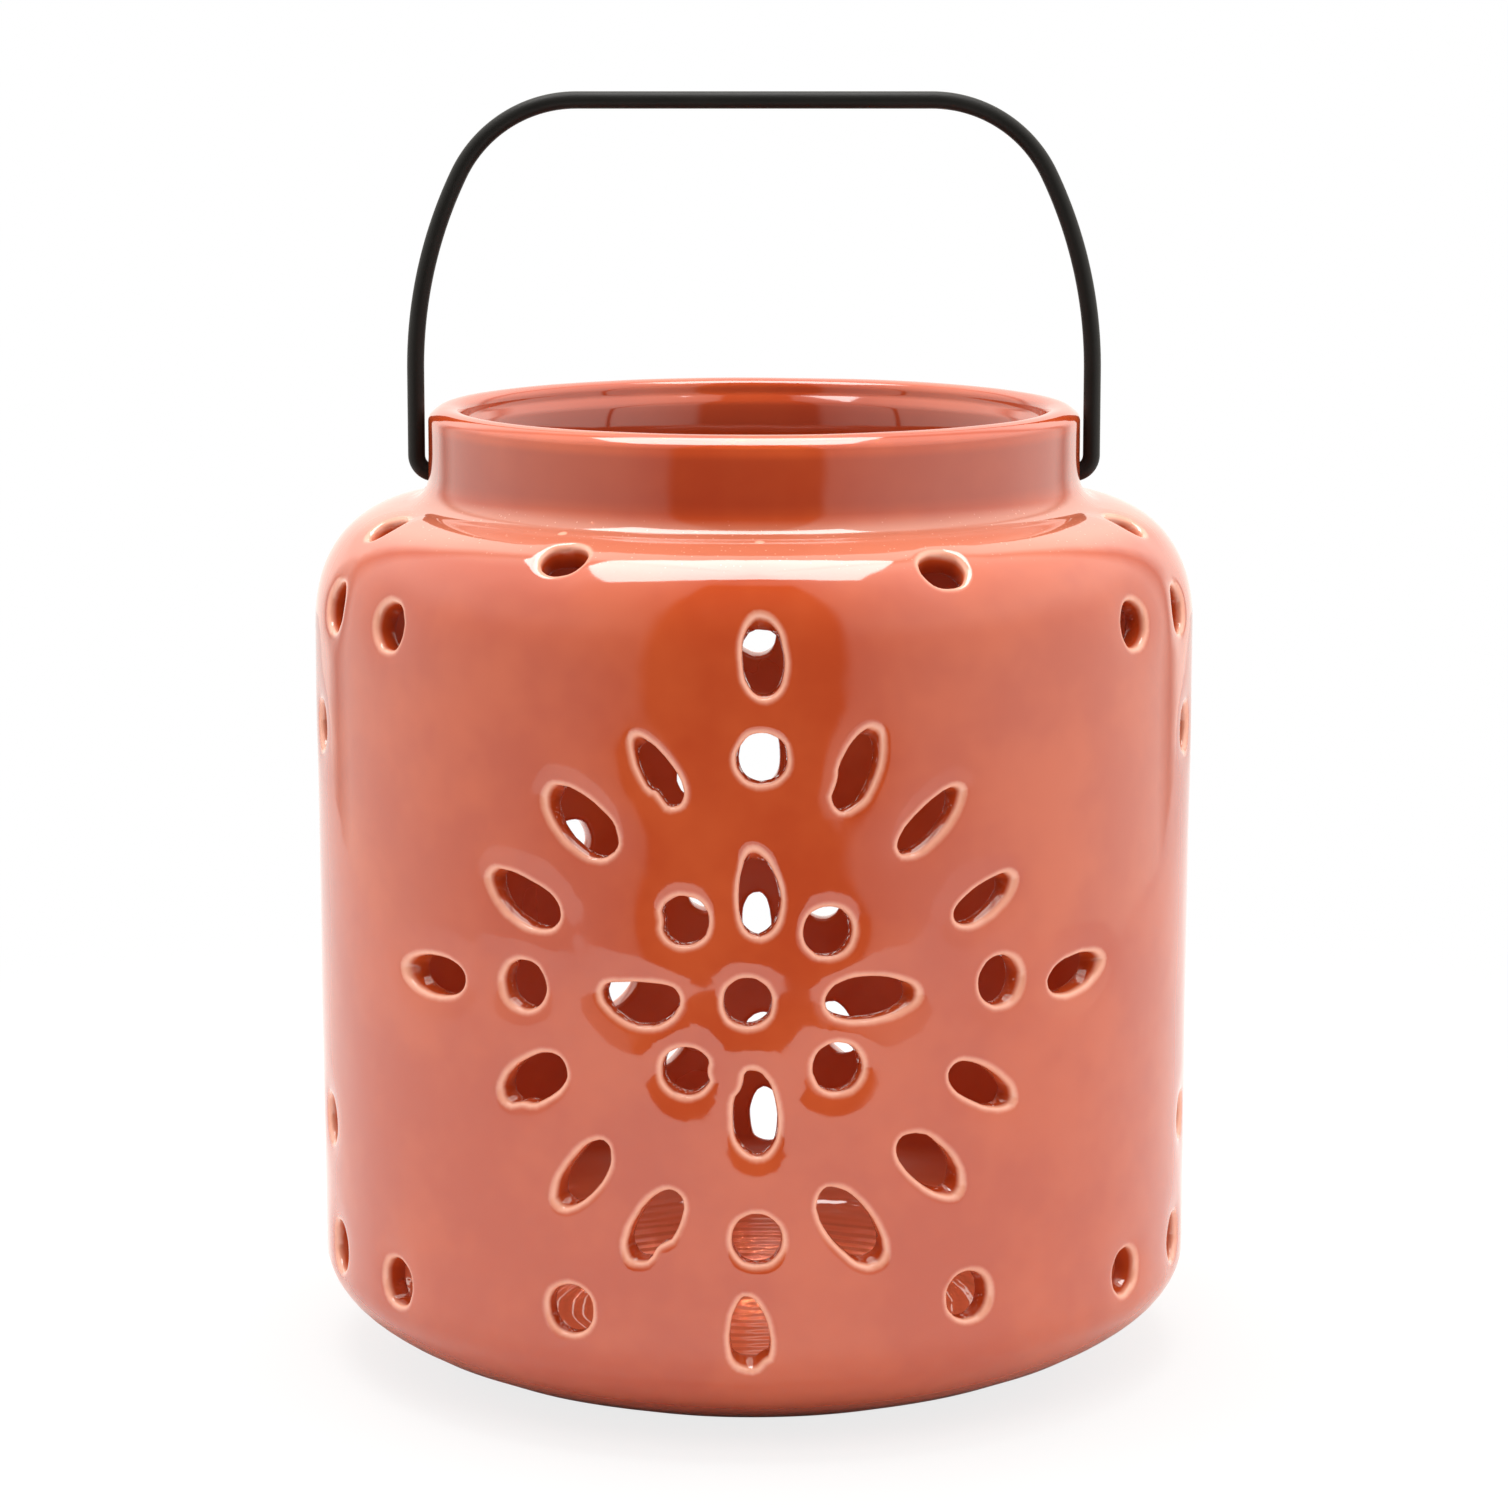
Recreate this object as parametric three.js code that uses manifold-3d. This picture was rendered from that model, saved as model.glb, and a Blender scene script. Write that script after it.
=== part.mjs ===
// A pierced ceramic lantern: a round glazed pot with a short neck, and a wire bail that swings in two holes of the
// neck. Millimetres, +Z up. The origin is the middle of the base, and the pierced medallion faces -Y.
import * as THREE from "three";
import { mergeVertices } from "three/addons/utils/BufferGeometryUtils.js";
import Module from "manifold-3d";

const wasm = await Module();
wasm.setup();

// Driving sizes of the pot.
const pot = {
  radius: 100, // of the wall, outside, where the shoulder begins
  draft: 0.6, // the wall is this much narrower at its foot
  wall: 6,
  floor: 7,
  baseRound: 25, // height of the round between base and wall
  baseFootPull: 0.56, // shares of the round's reach and rise that shape its curve
  baseFootLift: 0.233,
  baseWallPull: 0.424,
  footRadius: 65, // outer edge of the ring that the pot stands on
  footWidth: 9,
  footHeight: 1.5, // depth of the hollow inside the foot ring
  wallTop: 170, // height where the shoulder begins
  shoulderRise: 27,
  shoulderPower: 2.2, // 2 is an ellipse, more is squarer
};

const neck = {
  radius: 74,
  height: 20.7,
  fillet: 1.6, // round between shoulder and neck
  lipRound: 1.2,
  lipInside: 66.2, // radius of the mouth at the lip
  ledgeDepth: 2.8, // below the rim, where the ledge starts
  ledgeSlope: 2.9, // height of the sloping ledge
  throat: 64.3, // radius below the ledge
};

const bail = {
  wire: 3.9, // diameter
  clearance: 0.95, // between wire and hole, all round
  legGap: 0.8, // between leg and neck
  pivotDrop: 14.9, // from the rim down to the holes
  pinReach: 2.4, // how far the wire's end stands into the throat
  elbowRadius: 4.1, // of the wire's middle line
  legAboveRim: 8.4, // the leg is straight to here
  sideArcRadius: 101,
  sideArcDegrees: 26,
  handRoom: 67.3, // from the rim to the underside of the grip
};

// The holes. A medallion is set out on the wall's surface, in millimetres from its centre.
const roundHole = 5.2; // radius of the round holes
const petal = {
  length: 18.5,
  width: 9.2,
  tipFullness: 0.6, // shares of the width and length that shape its outline
  tipStart: 0.15,
  bluntFullness: 0.74,
};
const medallion = {
  aboveMiddle: 5, // of the centre, above the middle of the upright wall
  innerRounds: 22, // distance of each group from the centre
  innerPetals: 24.2,
  ringRounds: 52.5,
  ringPetals: 54,
  outerAcross: 77,
  outerUpright: 73,
  cornerAcross: 44.5,
  cornerBelow: 69,
};
const ringStations = 16; // every fourth one is a round hole
const sides = {
  rowHeight: 73, // of the upper and lower rows, from the height of the medallions' centres
  rowAzimuths: [53.7, 70.8],
  cornerAzimuth: 75.2,
  cornerHeight: 45.3,
  shoulderAzimuths: [26.6, 69.8],
  shoulderHeight: 23, // above the shoulder's beginning
  columnPetals: 24.2,
};

// How finely the round forms are cut into flats.
const turns = 48; // round the pot
const profileFacets = { shoulderFacets: 6, baseFacets: 5, insideShoulderFacets: 4, insideBaseFacets: 3 };
const holeFacets = 5; // in half a hole's outline
const wireFacets = 10; // round the wire
const bendFacets = { elbowFacets: 6, sideArcFacets: 5, cornerFacets: 7 };
const mergeGap = 1e-4;
const slopeGap = 0.05; // the height over which the wall's lean is measured

// Worked out from the sizes above.
const medallionHeight = (pot.baseRound + pot.wallTop) / 2 + medallion.aboveMiddle;
const shoulderTop = pot.wallTop + pot.shoulderRise;
const rim = shoulderTop + neck.height;
const pivotHeight = rim - bail.pivotDrop;
const wireRadius = bail.wire / 2;
const legAcross = neck.radius + bail.legGap + wireRadius;
const degrees = THREE.MathUtils.degToRad;

const glaze = new THREE.MeshStandardMaterial({ color: 0xbe4b26, roughness: 0.15, metalness: 0 });
const blackCoat = new THREE.MeshStandardMaterial({ color: 0x1b1a19, roughness: 0.45, metalness: 0.3 });

// A closed geometry as a solid.
function solid(geometry) {
  const bare = new THREE.BufferGeometry();
  bare.setAttribute("position", geometry.getAttribute("position"));
  bare.setIndex(geometry.index);
  const merged = mergeVertices(bare, mergeGap);
  const corners = merged.index.array;
  const kept = [];
  for (let i = 0; i < corners.length; i += 3) {
    const [a, b, c] = [corners[i], corners[i + 1], corners[i + 2]];
    if (a !== b && b !== c && c !== a) kept.push(a, b, c);
  }
  return new wasm.Manifold(
    new wasm.Mesh({
      numProp: 3,
      vertProperties: merged.getAttribute("position").array,
      triVerts: new Uint32Array(kept),
    }),
  );
}

// A solid as a geometry.
function geometryOf(made) {
  const mesh = made.getMesh();
  const geometry = new THREE.BufferGeometry();
  geometry.setAttribute("position", new THREE.BufferAttribute(mesh.vertProperties, 3));
  geometry.setIndex(new THREE.BufferAttribute(mesh.triVerts, 1));
  geometry.computeVertexNormals();
  return geometry;
}

// Points of a quarter of a round from the top of its side to its crown, across by up.
function quarterRound(centre, across, up, power, steps) {
  const points = [];
  for (let i = 0; i <= steps; i++) {
    const angle = (i / steps) * (Math.PI / 2);
    points.push(
      new THREE.Vector2(
        centre.x + across * Math.cos(angle) ** (2 / power),
        centre.y + up * Math.sin(angle) ** (2 / power),
      ),
    );
  }
  return points;
}

// The round under the wall: upright at the wall, nearly flat at the foot.
function baseCurve(outerRadius, footRadius, footHeight, topHeight) {
  const rise = topHeight - footHeight;
  const reach = outerRadius - footRadius;
  return new THREE.CubicBezierCurve(
    new THREE.Vector2(footRadius, footHeight),
    new THREE.Vector2(footRadius + pot.baseFootPull * reach, footHeight + pot.baseFootLift * rise),
    new THREE.Vector2(outerRadius, topHeight - pot.baseWallPull * rise),
    new THREE.Vector2(outerRadius, topHeight),
  );
}

// The shoulder's outside, from the wall to the neck's fillet.
const shoulderReach = pot.radius - neck.radius - neck.fillet;
const shoulderCentre = new THREE.Vector2(pot.radius - shoulderReach, pot.wallTop);

// The pot's outside, from the foot up to the lip.
function outsideProfile() {
  const wallFoot = pot.radius - pot.draft;
  const { shoulderFacets, baseFacets } = profileFacets;
  const points = baseCurve(wallFoot, pot.footRadius, 0, pot.baseRound).getPoints(baseFacets);
  const { shoulderRise, shoulderPower } = pot;
  points.push(...quarterRound(shoulderCentre, shoulderReach, shoulderRise, shoulderPower, shoulderFacets));
  points.push(new THREE.Vector2(neck.radius, shoulderTop + neck.fillet));
  points.push(new THREE.Vector2(neck.radius, rim - neck.lipRound));
  points.push(new THREE.Vector2(neck.radius - neck.lipRound, rim));
  return points;
}

// The pot's inside, from the lip down to the middle of the floor.
function insideProfile() {
  const wallFoot = pot.radius - pot.draft - pot.wall;
  const ledgeTop = rim - neck.ledgeDepth;
  const points = [
    new THREE.Vector2(neck.lipInside + neck.lipRound, rim),
    new THREE.Vector2(neck.lipInside, rim - neck.lipRound),
    new THREE.Vector2(neck.lipInside, ledgeTop),
    new THREE.Vector2(neck.throat, ledgeTop - neck.ledgeSlope),
  ];
  const { insideShoulderFacets, insideBaseFacets } = profileFacets;
  const reach = pot.radius - pot.wall - neck.throat;
  const centre = new THREE.Vector2(neck.throat, pot.wallTop);
  const rise = pot.shoulderRise - pot.wall;
  points.push(...quarterRound(centre, reach, rise, pot.shoulderPower, insideShoulderFacets).reverse());
  const bottom = baseCurve(wallFoot, pot.footRadius, pot.floor, pot.baseRound + pot.wall);
  points.push(...bottom.getPoints(insideBaseFacets).reverse());
  points.push(new THREE.Vector2(0, pot.floor));
  return points;
}

// The underside: a shallow hollow inside the ring that the pot stands on.
function undersideProfile() {
  const ringInside = pot.footRadius - pot.footWidth;
  return [
    new THREE.Vector2(0, pot.footHeight),
    new THREE.Vector2(ringInside - pot.footHeight, pot.footHeight),
    new THREE.Vector2(ringInside, 0),
  ];
}

function blankPot() {
  const profile = [...undersideProfile(), ...outsideProfile(), ...insideProfile()];
  const lathe = new THREE.LatheGeometry(profile, turns);
  lathe.rotateX(Math.PI / 2);
  return solid(lathe);
}

// The wall's outside at a height: its radius, and how far it leans in from upright.
function surfaceAt(height) {
  if (height <= pot.wallTop) {
    const share = (pot.wallTop - height) / (pot.wallTop - pot.baseRound);
    return { radius: pot.radius - pot.draft * share, lean: 0 };
  }
  const radiusAt = (z) => {
    const share = Math.min((z - pot.wallTop) / pot.shoulderRise, 1) ** pot.shoulderPower;
    return shoulderCentre.x + shoulderReach * (1 - share) ** (1 / pot.shoulderPower);
  };
  const fall = (radiusAt(height - slopeGap) - radiusAt(height + slopeGap)) / (2 * slopeGap);
  return { radius: radiusAt(height), lean: Math.atan(fall) };
}

function roundOutline(radius) {
  return new THREE.Shape().absarc(0, 0, radius, 0, 2 * Math.PI);
}

// A petal with its blunt end below and its tip above the middle.
function petalOutline() {
  const [tip, blunt] = [petal.length / 2, -petal.length / 2];
  const tipAcross = petal.tipFullness * petal.width;
  const tipUp = petal.tipStart * petal.length;
  const bluntAcross = petal.bluntFullness * petal.width;
  const shape = new THREE.Shape();
  shape.moveTo(0, tip);
  shape.bezierCurveTo(-tipAcross, tipUp, -bluntAcross, blunt, 0, blunt);
  shape.bezierCurveTo(bluntAcross, blunt, tipAcross, tipUp, 0, tip);
  return shape;
}

// A cutter for one hole, square to the surface. tilt turns its tip from up towards the viewer's right.
function holeCutter(outline, azimuth, height, tilt = 0) {
  const inside = 2 * pot.wall;
  const depth = inside + pot.wall;
  const cutter = new THREE.ExtrudeGeometry(outline, { depth, bevelEnabled: false, curveSegments: holeFacets });
  const { radius, lean } = surfaceAt(height);
  const surfaceToAxis = new THREE.Matrix4().makeTranslation(0, -radius, height);
  const place = new THREE.Matrix4().makeRotationZ(azimuth).multiply(surfaceToAxis);
  place.multiply(new THREE.Matrix4().makeRotationX(Math.PI / 2 - lean));
  place.multiply(new THREE.Matrix4().makeRotationZ(-tilt));
  place.multiply(new THREE.Matrix4().makeTranslation(0, 0, -inside));
  cutter.applyMatrix4(place);
  return solid(cutter);
}

// The holes of one medallion, whose centre is at an azimuth.
function medallionCutters(middle) {
  const cutters = [];
  const at = (outline, across, up, tilt) => {
    cutters.push(holeCutter(outline, middle + across / pot.radius, medallionHeight + up, tilt));
  };
  const along = (outline, distance, angle) => {
    at(outline, distance * Math.sin(angle), distance * Math.cos(angle), angle);
  };
  const hole = roundOutline(roundHole);
  const leaf = petalOutline();
  at(hole, 0, 0, 0);
  for (let quarter = 0; quarter < 4; quarter++) {
    const angle = (quarter * Math.PI) / 2;
    along(hole, medallion.innerRounds, angle + Math.PI / 4);
    along(leaf, medallion.innerPetals, angle);
    along(leaf, quarter % 2 ? medallion.outerAcross : medallion.outerUpright, angle);
  }
  for (let station = 0; station < ringStations; station++) {
    const angle = (station * 2 * Math.PI) / ringStations;
    if (station % 4) along(leaf, medallion.ringPetals, angle);
    else along(hole, medallion.ringRounds, angle);
  }
  for (const side of [-1, 1]) at(hole, side * medallion.cornerAcross, -medallion.cornerBelow, 0);
  return cutters;
}

// The holes between the medallions. Each side mirrors about its own middle.
function sideCutters() {
  const hole = roundOutline(roundHole);
  const leaf = petalOutline();
  const cutters = [];
  for (const half of [0, Math.PI]) {
    for (const side of [-1, 1]) {
      const at = (azimuth, up) => cutters.push(holeCutter(hole, half + side * degrees(azimuth), up));
      for (const up of [-1, 1]) {
        for (const azimuth of sides.rowAzimuths) at(azimuth, medallionHeight + up * sides.rowHeight);
        at(sides.cornerAzimuth, medallionHeight + up * sides.cornerHeight);
      }
      for (const azimuth of sides.shoulderAzimuths) at(azimuth, pot.wallTop + sides.shoulderHeight);
    }
    const middle = half + Math.PI / 2;
    cutters.push(holeCutter(hole, middle, medallionHeight));
    for (const up of [-1, 1]) {
      cutters.push(holeCutter(hole, middle, medallionHeight + up * sides.rowHeight));
      const tilt = up > 0 ? 0 : Math.PI;
      cutters.push(holeCutter(leaf, middle, medallionHeight + up * sides.columnPetals, tilt));
    }
  }
  return cutters;
}

// One bore through both sides of the neck, for the bail's ends.
function pivotBore() {
  const radius = wireRadius + bail.clearance;
  const length = 2 * (neck.radius + pot.wall);
  const bore = new THREE.CylinderGeometry(radius, radius, length, 2 * wireFacets);
  bore.rotateZ(Math.PI / 2).translate(0, 0, pivotHeight);
  return solid(bore);
}

function ceramicBody() {
  const cutters = [pivotBore(), ...medallionCutters(0), ...medallionCutters(Math.PI), ...sideCutters()];
  const pierced = blankPot().subtract(wasm.Manifold.union(cutters));
  const mesh = new THREE.Mesh(geometryOf(pierced), glaze);
  mesh.name = "ceramic_body";
  return mesh;
}

// An arc in the bail's plane.
class Arc extends THREE.Curve {
  constructor(centre, radius, from, to) {
    super();
    Object.assign(this, { centre, radius, from, to });
  }
  getPoint(share) {
    const angle = this.from + (this.to - this.from) * share;
    return new THREE.Vector3(
      this.centre.x + this.radius * Math.cos(angle),
      0,
      this.centre.y + this.radius * Math.sin(angle),
    );
  }
}

// A path of several stretches, each with its own number of steps, so that a tight elbow is as smooth as a long arc.
class SteppedPath extends THREE.Curve {
  stretches = [];
  steps = 0;
  add(curve, steps) {
    this.stretches.push({ curve, from: this.steps, steps });
    this.steps += steps;
  }
  getPoint(share) {
    const step = share * this.steps;
    const { curve, from, steps } = this.stretches.findLast((stretch) => stretch.from <= step);
    return curve.getPoint(Math.min((step - from) / steps, 1));
  }
  getPointAt(share) {
    return this.getPoint(share);
  }
  getTangentAt(share) {
    return this.getTangent(share);
  }
}

// The wire's middle line, measured from the pivot: end, elbow, leg, side arc, corner, grip, and back down.
function bailPath() {
  const { elbowRadius, sideArcRadius } = bail;
  const sideAngle = degrees(bail.sideArcDegrees);
  const legTop = bail.pivotDrop + bail.legAboveRim;
  const grip = bail.pivotDrop + bail.handRoom + wireRadius;
  const arcEndAcross = legAcross - sideArcRadius * (1 - Math.cos(sideAngle));
  const arcEndHeight = legTop + sideArcRadius * Math.sin(sideAngle);
  const cornerRadius = (grip - arcEndHeight) / (1 - Math.sin(sideAngle));
  const gripHalf = arcEndAcross - cornerRadius * Math.cos(sideAngle);
  const elbowAcross = legAcross - elbowRadius;
  const pinEnd = neck.throat - bail.pinReach;
  const { elbowFacets, sideArcFacets, cornerFacets } = bendFacets;
  const path = new SteppedPath();
  const line = (x0, z0, x1, z1) => {
    path.add(new THREE.LineCurve3(new THREE.Vector3(x0, 0, z0), new THREE.Vector3(x1, 0, z1)), 1);
  };
  const arc = (x, z, radius, from, to, facets) => {
    path.add(new Arc(new THREE.Vector2(x, z), radius, from, to), facets);
  };
  const quarter = Math.PI / 2;
  line(pinEnd, 0, elbowAcross, 0);
  arc(elbowAcross, elbowRadius, elbowRadius, -quarter, 0, elbowFacets);
  line(legAcross, elbowRadius, legAcross, legTop);
  arc(legAcross - sideArcRadius, legTop, sideArcRadius, 0, sideAngle, sideArcFacets);
  arc(gripHalf, grip - cornerRadius, cornerRadius, sideAngle, quarter, cornerFacets);
  line(gripHalf, grip, -gripHalf, grip);
  arc(-gripHalf, grip - cornerRadius, cornerRadius, quarter, Math.PI - sideAngle, cornerFacets);
  arc(sideArcRadius - legAcross, legTop, sideArcRadius, Math.PI - sideAngle, Math.PI, sideArcFacets);
  line(-legAcross, legTop, -legAcross, elbowRadius);
  arc(-elbowAcross, elbowRadius, elbowRadius, Math.PI, 3 * quarter, elbowFacets);
  line(-elbowAcross, 0, -pinEnd, 0);
  return path;
}

function bailHandle() {
  const extrudePath = bailPath();
  const tube = new THREE.ExtrudeGeometry(roundOutline(wireRadius), {
    steps: extrudePath.steps,
    extrudePath,
    curveSegments: wireFacets / 2,
  });
  const mesh = new THREE.Mesh(geometryOf(solid(tube)), blackCoat);
  mesh.name = "bail_handle";
  return mesh;
}

// The bail hangs on its pivot line, so turning this group about X swings it.
const swing = new THREE.Group();
swing.position.z = pivotHeight;
swing.add(bailHandle());

const lantern = new THREE.Group();
lantern.add(ceramicBody(), swing);

export default lantern;
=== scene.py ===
# %% [markdown]
# # A pierced ceramic lantern
#
# The lantern is a glazed pot with a hand-cut pattern of holes, and a black wire handle. A CAD model already
# gives every size and the way the handle swings. This notebook gives that model its looks: a finely made
# pot, a round wire, their finishes, and a plain studio. The first cell loads the CAD model.

# %% Load the CAD model
import math

import bpy
import numpy as np
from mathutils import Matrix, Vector
from mathutils.geometry import delaunay_2d_cdt


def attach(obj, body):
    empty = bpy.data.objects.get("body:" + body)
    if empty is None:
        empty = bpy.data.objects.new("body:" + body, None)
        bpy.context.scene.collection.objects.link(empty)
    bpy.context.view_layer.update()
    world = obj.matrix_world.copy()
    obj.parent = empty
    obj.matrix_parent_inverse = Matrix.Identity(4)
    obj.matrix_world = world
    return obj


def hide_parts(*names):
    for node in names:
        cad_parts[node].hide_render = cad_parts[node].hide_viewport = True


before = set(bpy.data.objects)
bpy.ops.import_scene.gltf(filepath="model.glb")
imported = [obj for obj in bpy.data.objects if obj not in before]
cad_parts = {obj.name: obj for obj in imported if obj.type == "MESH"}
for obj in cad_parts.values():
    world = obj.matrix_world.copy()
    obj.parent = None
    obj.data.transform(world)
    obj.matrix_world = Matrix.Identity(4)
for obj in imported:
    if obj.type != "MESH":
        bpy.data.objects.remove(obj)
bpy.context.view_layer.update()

# %% [markdown]
# ## The camera
#
# A render can only be compared with a photograph if the camera stands where the photographer stood. The
# place, the tilt and the lens were worked out from the pot's outline, the ellipse of its rim, and the
# places where a hole of the front lines up with a hole of the back. Such a close view of a round pot shows
# the rim as a flat ellipse.

# %% Place the camera
def add_object(name, data):
    """A new object in the scene, at the origin."""
    made = bpy.data.objects.new(name, data)
    bpy.context.scene.collection.objects.link(made)
    return made


CAMERA_AT = (0.0, -1.0864, 0.3203)
CAMERA_TILT = 9.53
LENS = 114.4

camera_data = bpy.data.cameras.new("camera")
camera_data.lens = LENS
camera = add_object("camera", camera_data)
camera.location = CAMERA_AT
camera.rotation_euler = (math.radians(90 - CAMERA_TILT), 0, 0)
bpy.context.scene.camera = camera
print("camera", CAMERA_AT, "lens", LENS)

# %% [markdown]
# ## Writing node trees
#
# Geometry Nodes and materials are both trees of nodes. Clicking them together suits trying things out, but
# a script can be read and repeated. Long sums are hard to read as single Math nodes, so a small class
# stands for a number that nodes work out: adding or multiplying two of them places the Math node and its
# links.

# %% A number that nodes work out
class Field:
    """One output of a node. A sum written with it becomes Math nodes."""

    def __init__(self, tree, socket):
        self.tree, self.socket = tree, socket

    def math(self, operation, *others):
        made = self.tree.nodes.new("ShaderNodeMath")
        made.operation = operation
        for socket, value in zip(made.inputs, (self, *others)):
            feed(self.tree, socket, value)
        return Field(self.tree, made.outputs[0])

    def __add__(self, other):
        return self.math("ADD", other)

    def __sub__(self, other):
        return self.math("SUBTRACT", other)

    def __mul__(self, other):
        return self.math("MULTIPLY", other)

    def __truediv__(self, other):
        return self.math("DIVIDE", other)

    def __pow__(self, other):
        return self.math("POWER", other)


def feed(tree, socket, value):
    """Links a field to a socket, or sets the socket's own value."""
    if isinstance(value, Field):
        tree.links.new(value.socket, socket)
    else:
        socket.default_value = value


def feed_all(tree, made, values):
    """Feeds several sockets of a node, given by their names."""
    for name, value in values.items():
        feed(tree, made.inputs[name], value)


def node(tree, kind, sockets, **options):
    """Adds a node, with its options set and its sockets fed, and gives its first output."""
    made = tree.nodes.new(kind)
    for name, value in options.items():
        setattr(made, name, value)
    feed_all(tree, made, sockets)
    return Field(tree, made.outputs[0])


def output(field, name):
    """Another output of the node that a field comes from."""
    return Field(field.tree, field.socket.node.outputs[name])


def join(tree, x, y, z=0.0):
    """A vector made of three numbers."""
    return node(tree, "ShaderNodeCombineXYZ", {"X": x, "Y": y, "Z": z})


def split(tree, vector):
    """The three numbers of a vector."""
    made = node(tree, "ShaderNodeSeparateXYZ", {"Vector": vector})
    return [output(made, name) for name in "XYZ"]


print("fields ready")


# %% Build and run a Geometry Nodes tree
def new_tree(title, inputs):
    """A tree that takes and gives geometry, with named inputs. Gives the tree and its inputs as fields."""
    tree = bpy.data.node_groups.new(title, "GeometryNodeTree")
    tree.interface.new_socket("Geometry", in_out="INPUT", socket_type="NodeSocketGeometry")
    tree.interface.new_socket("Geometry", in_out="OUTPUT", socket_type="NodeSocketGeometry")
    for name, kind in inputs.items():
        tree.interface.new_socket(name, in_out="INPUT", socket_type="NodeSocket" + kind)
    start = tree.nodes.new("NodeGroupInput")
    return tree, {socket.name: Field(tree, socket) for socket in start.outputs if socket.name}


def close_tree(tree, geometry, material):
    """Ends a tree: instances become real geometry, and get their material."""
    real = node(tree, "GeometryNodeRealizeInstances", {"Geometry": geometry})
    finished = node(tree, "GeometryNodeSetMaterial", {"Geometry": real, "Material": material})
    end = tree.nodes.new("NodeGroupOutput")
    tree.links.new(finished.socket, end.inputs[0])


def run_tree(tree, start, settings):
    """Runs a tree on an object, and gives what comes out as a plain mesh. The object is used up."""
    modifier = start.modifiers.new(tree.name, "NODES")
    modifier.node_group = tree
    for item in tree.interface.items_tree:
        if item.in_out == "INPUT" and item.name in settings:
            modifier[item.identifier] = settings[item.name]
    graph = bpy.context.evaluated_depsgraph_get()
    mesh = bpy.data.meshes.new_from_object(start.evaluated_get(graph))
    start.modifiers.remove(modifier)
    bpy.data.objects.remove(start)
    print(tree.name, "made", len(mesh.vertices), "points and", len(mesh.polygons), "faces")
    return mesh


def position(tree):
    """The place of the point that a tree works on, as three numbers."""
    return split(tree, node(tree, "GeometryNodeInputPosition", {}))


def attribute(tree, name):
    """A number that the geometry carries under a name."""
    return node(tree, "GeometryNodeInputNamedAttribute", {"Name": name}, data_type="FLOAT")


def carry(tree, geometry, values):
    """Stores numbers on the geometry's points under their names."""
    for name, value in values.items():
        sockets = {"Geometry": geometry, "Name": name, "Value": value}
        geometry = node(tree, "GeometryNodeStoreNamedAttribute", sockets)
    return geometry


# %% [markdown]
# ## The pot's section
#
# A potter's wheel makes a pot by turning one line round an axis. Here the line is the whole section:
# underside, base, wall, shoulder, neck, lip, ledge and throat, then the inside of the shoulder, and at last
# the floor. It could be drawn by hand as a Bezier curve, but then its sizes would be hidden. It is written
# as corners with the radius of their rounding, because this gives the same sizes as the CAD model and
# rounds every edge as glaze does.

# %% Sizes of the pot, in millimetres
MM = 0.001
RADIUS, DRAFT, WALL = 100.0, 0.6, 6.0
FLOOR, FLOOR_EASE, FLOOR_PULL = 7.0, 8.0, 12.0
FOOT_RADIUS, FOOT_WIDTH, FOOT_HEIGHT, FOOT_ROUNDS = 65.0, 9.0, 1.5, (0.8, 0.6)
BASE_ROUND, BASE_OUT, BASE_UP, BASE_IN = 25.0, 0.56, 0.233, 0.424
WALL_TOP, SHOULDER_RISE, SHOULDER_POWER, SHOULDER_GAP = 170.0, 27.0, 2.2, 1.6
NECK, NECK_FILLET, RIM, RIM_CROWN, RIM_CROWN_WIDTH = 74.0, 5.2, 217.7, 0.8, 2.8
LIP_INSIDE, LIP_INNER_ROUND, LIP_EDGE_ROUND = 66.2, 1.6, 1.0
LIP_BEVEL, LIP_BEVEL_DROP, LIP_BEVEL_TOP, LIP_BEVEL_ROUND = 2.7, 1.5, 0.6, 0.9
LEDGE_DEPTH, LEDGE_SLOPE, LEDGE_CORNER, LEDGE_EDGE = 2.8, 1.9, 0.7, 0.9
THROAT, THROAT_FLARE, THROAT_BELOW_RIM = 63.5, 0.85, 11.3
THROAT_EASE, THROAT_ROUND, THROAT_PAST_SHOULDER = 0.6, 2.2, 1.0
PIERCED_RADIUS, PIERCED_FILLET_POINTS, PIVOT_BELOW_RIM = 88.0, 4, 14.9
SHOULDER_TOP = WALL_TOP + SHOULDER_RISE
PIVOT_HEIGHT = RIM - PIVOT_BELOW_RIM
MEDALLION_HEIGHT = 102.5
print("the pot is", 2 * RADIUS, "mm across and", RIM, "mm high to its rim")


# %% Helpers for rounded lines
def bezier(start, pull_out, pull_in, end, steps):
    """Points along a cubic curve."""
    share = np.linspace(0, 1, steps + 1)[:, None]
    parts = [(1 - share) ** 3, 3 * share * (1 - share) ** 2, 3 * share**2 * (1 - share), share**3]
    return sum(part * np.array(point) for part, point in zip(parts, (start, pull_out, pull_in, end)))


def eased(corners, steps=12, fullness=0.55):
    """A line through corners (radius, height, rounding), each corner rounded."""
    points = [np.array(corners[0][:2])]
    for before, corner, after in zip(corners, corners[1:], corners[2:]):
        middle = np.array(corner[:2])
        to_before = np.array(before[:2]) - middle
        to_after = np.array(after[:2]) - middle
        start = middle + corner[2] * to_before / np.linalg.norm(to_before)
        end = middle + corner[2] * to_after / np.linalg.norm(to_after)
        pulls = (start + fullness * (middle - start), end + fullness * (middle - end))
        points += list(bezier(start, *pulls, end, steps))
    points.append(np.array(corners[-1][:2]))
    return stepped(points)


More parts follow.
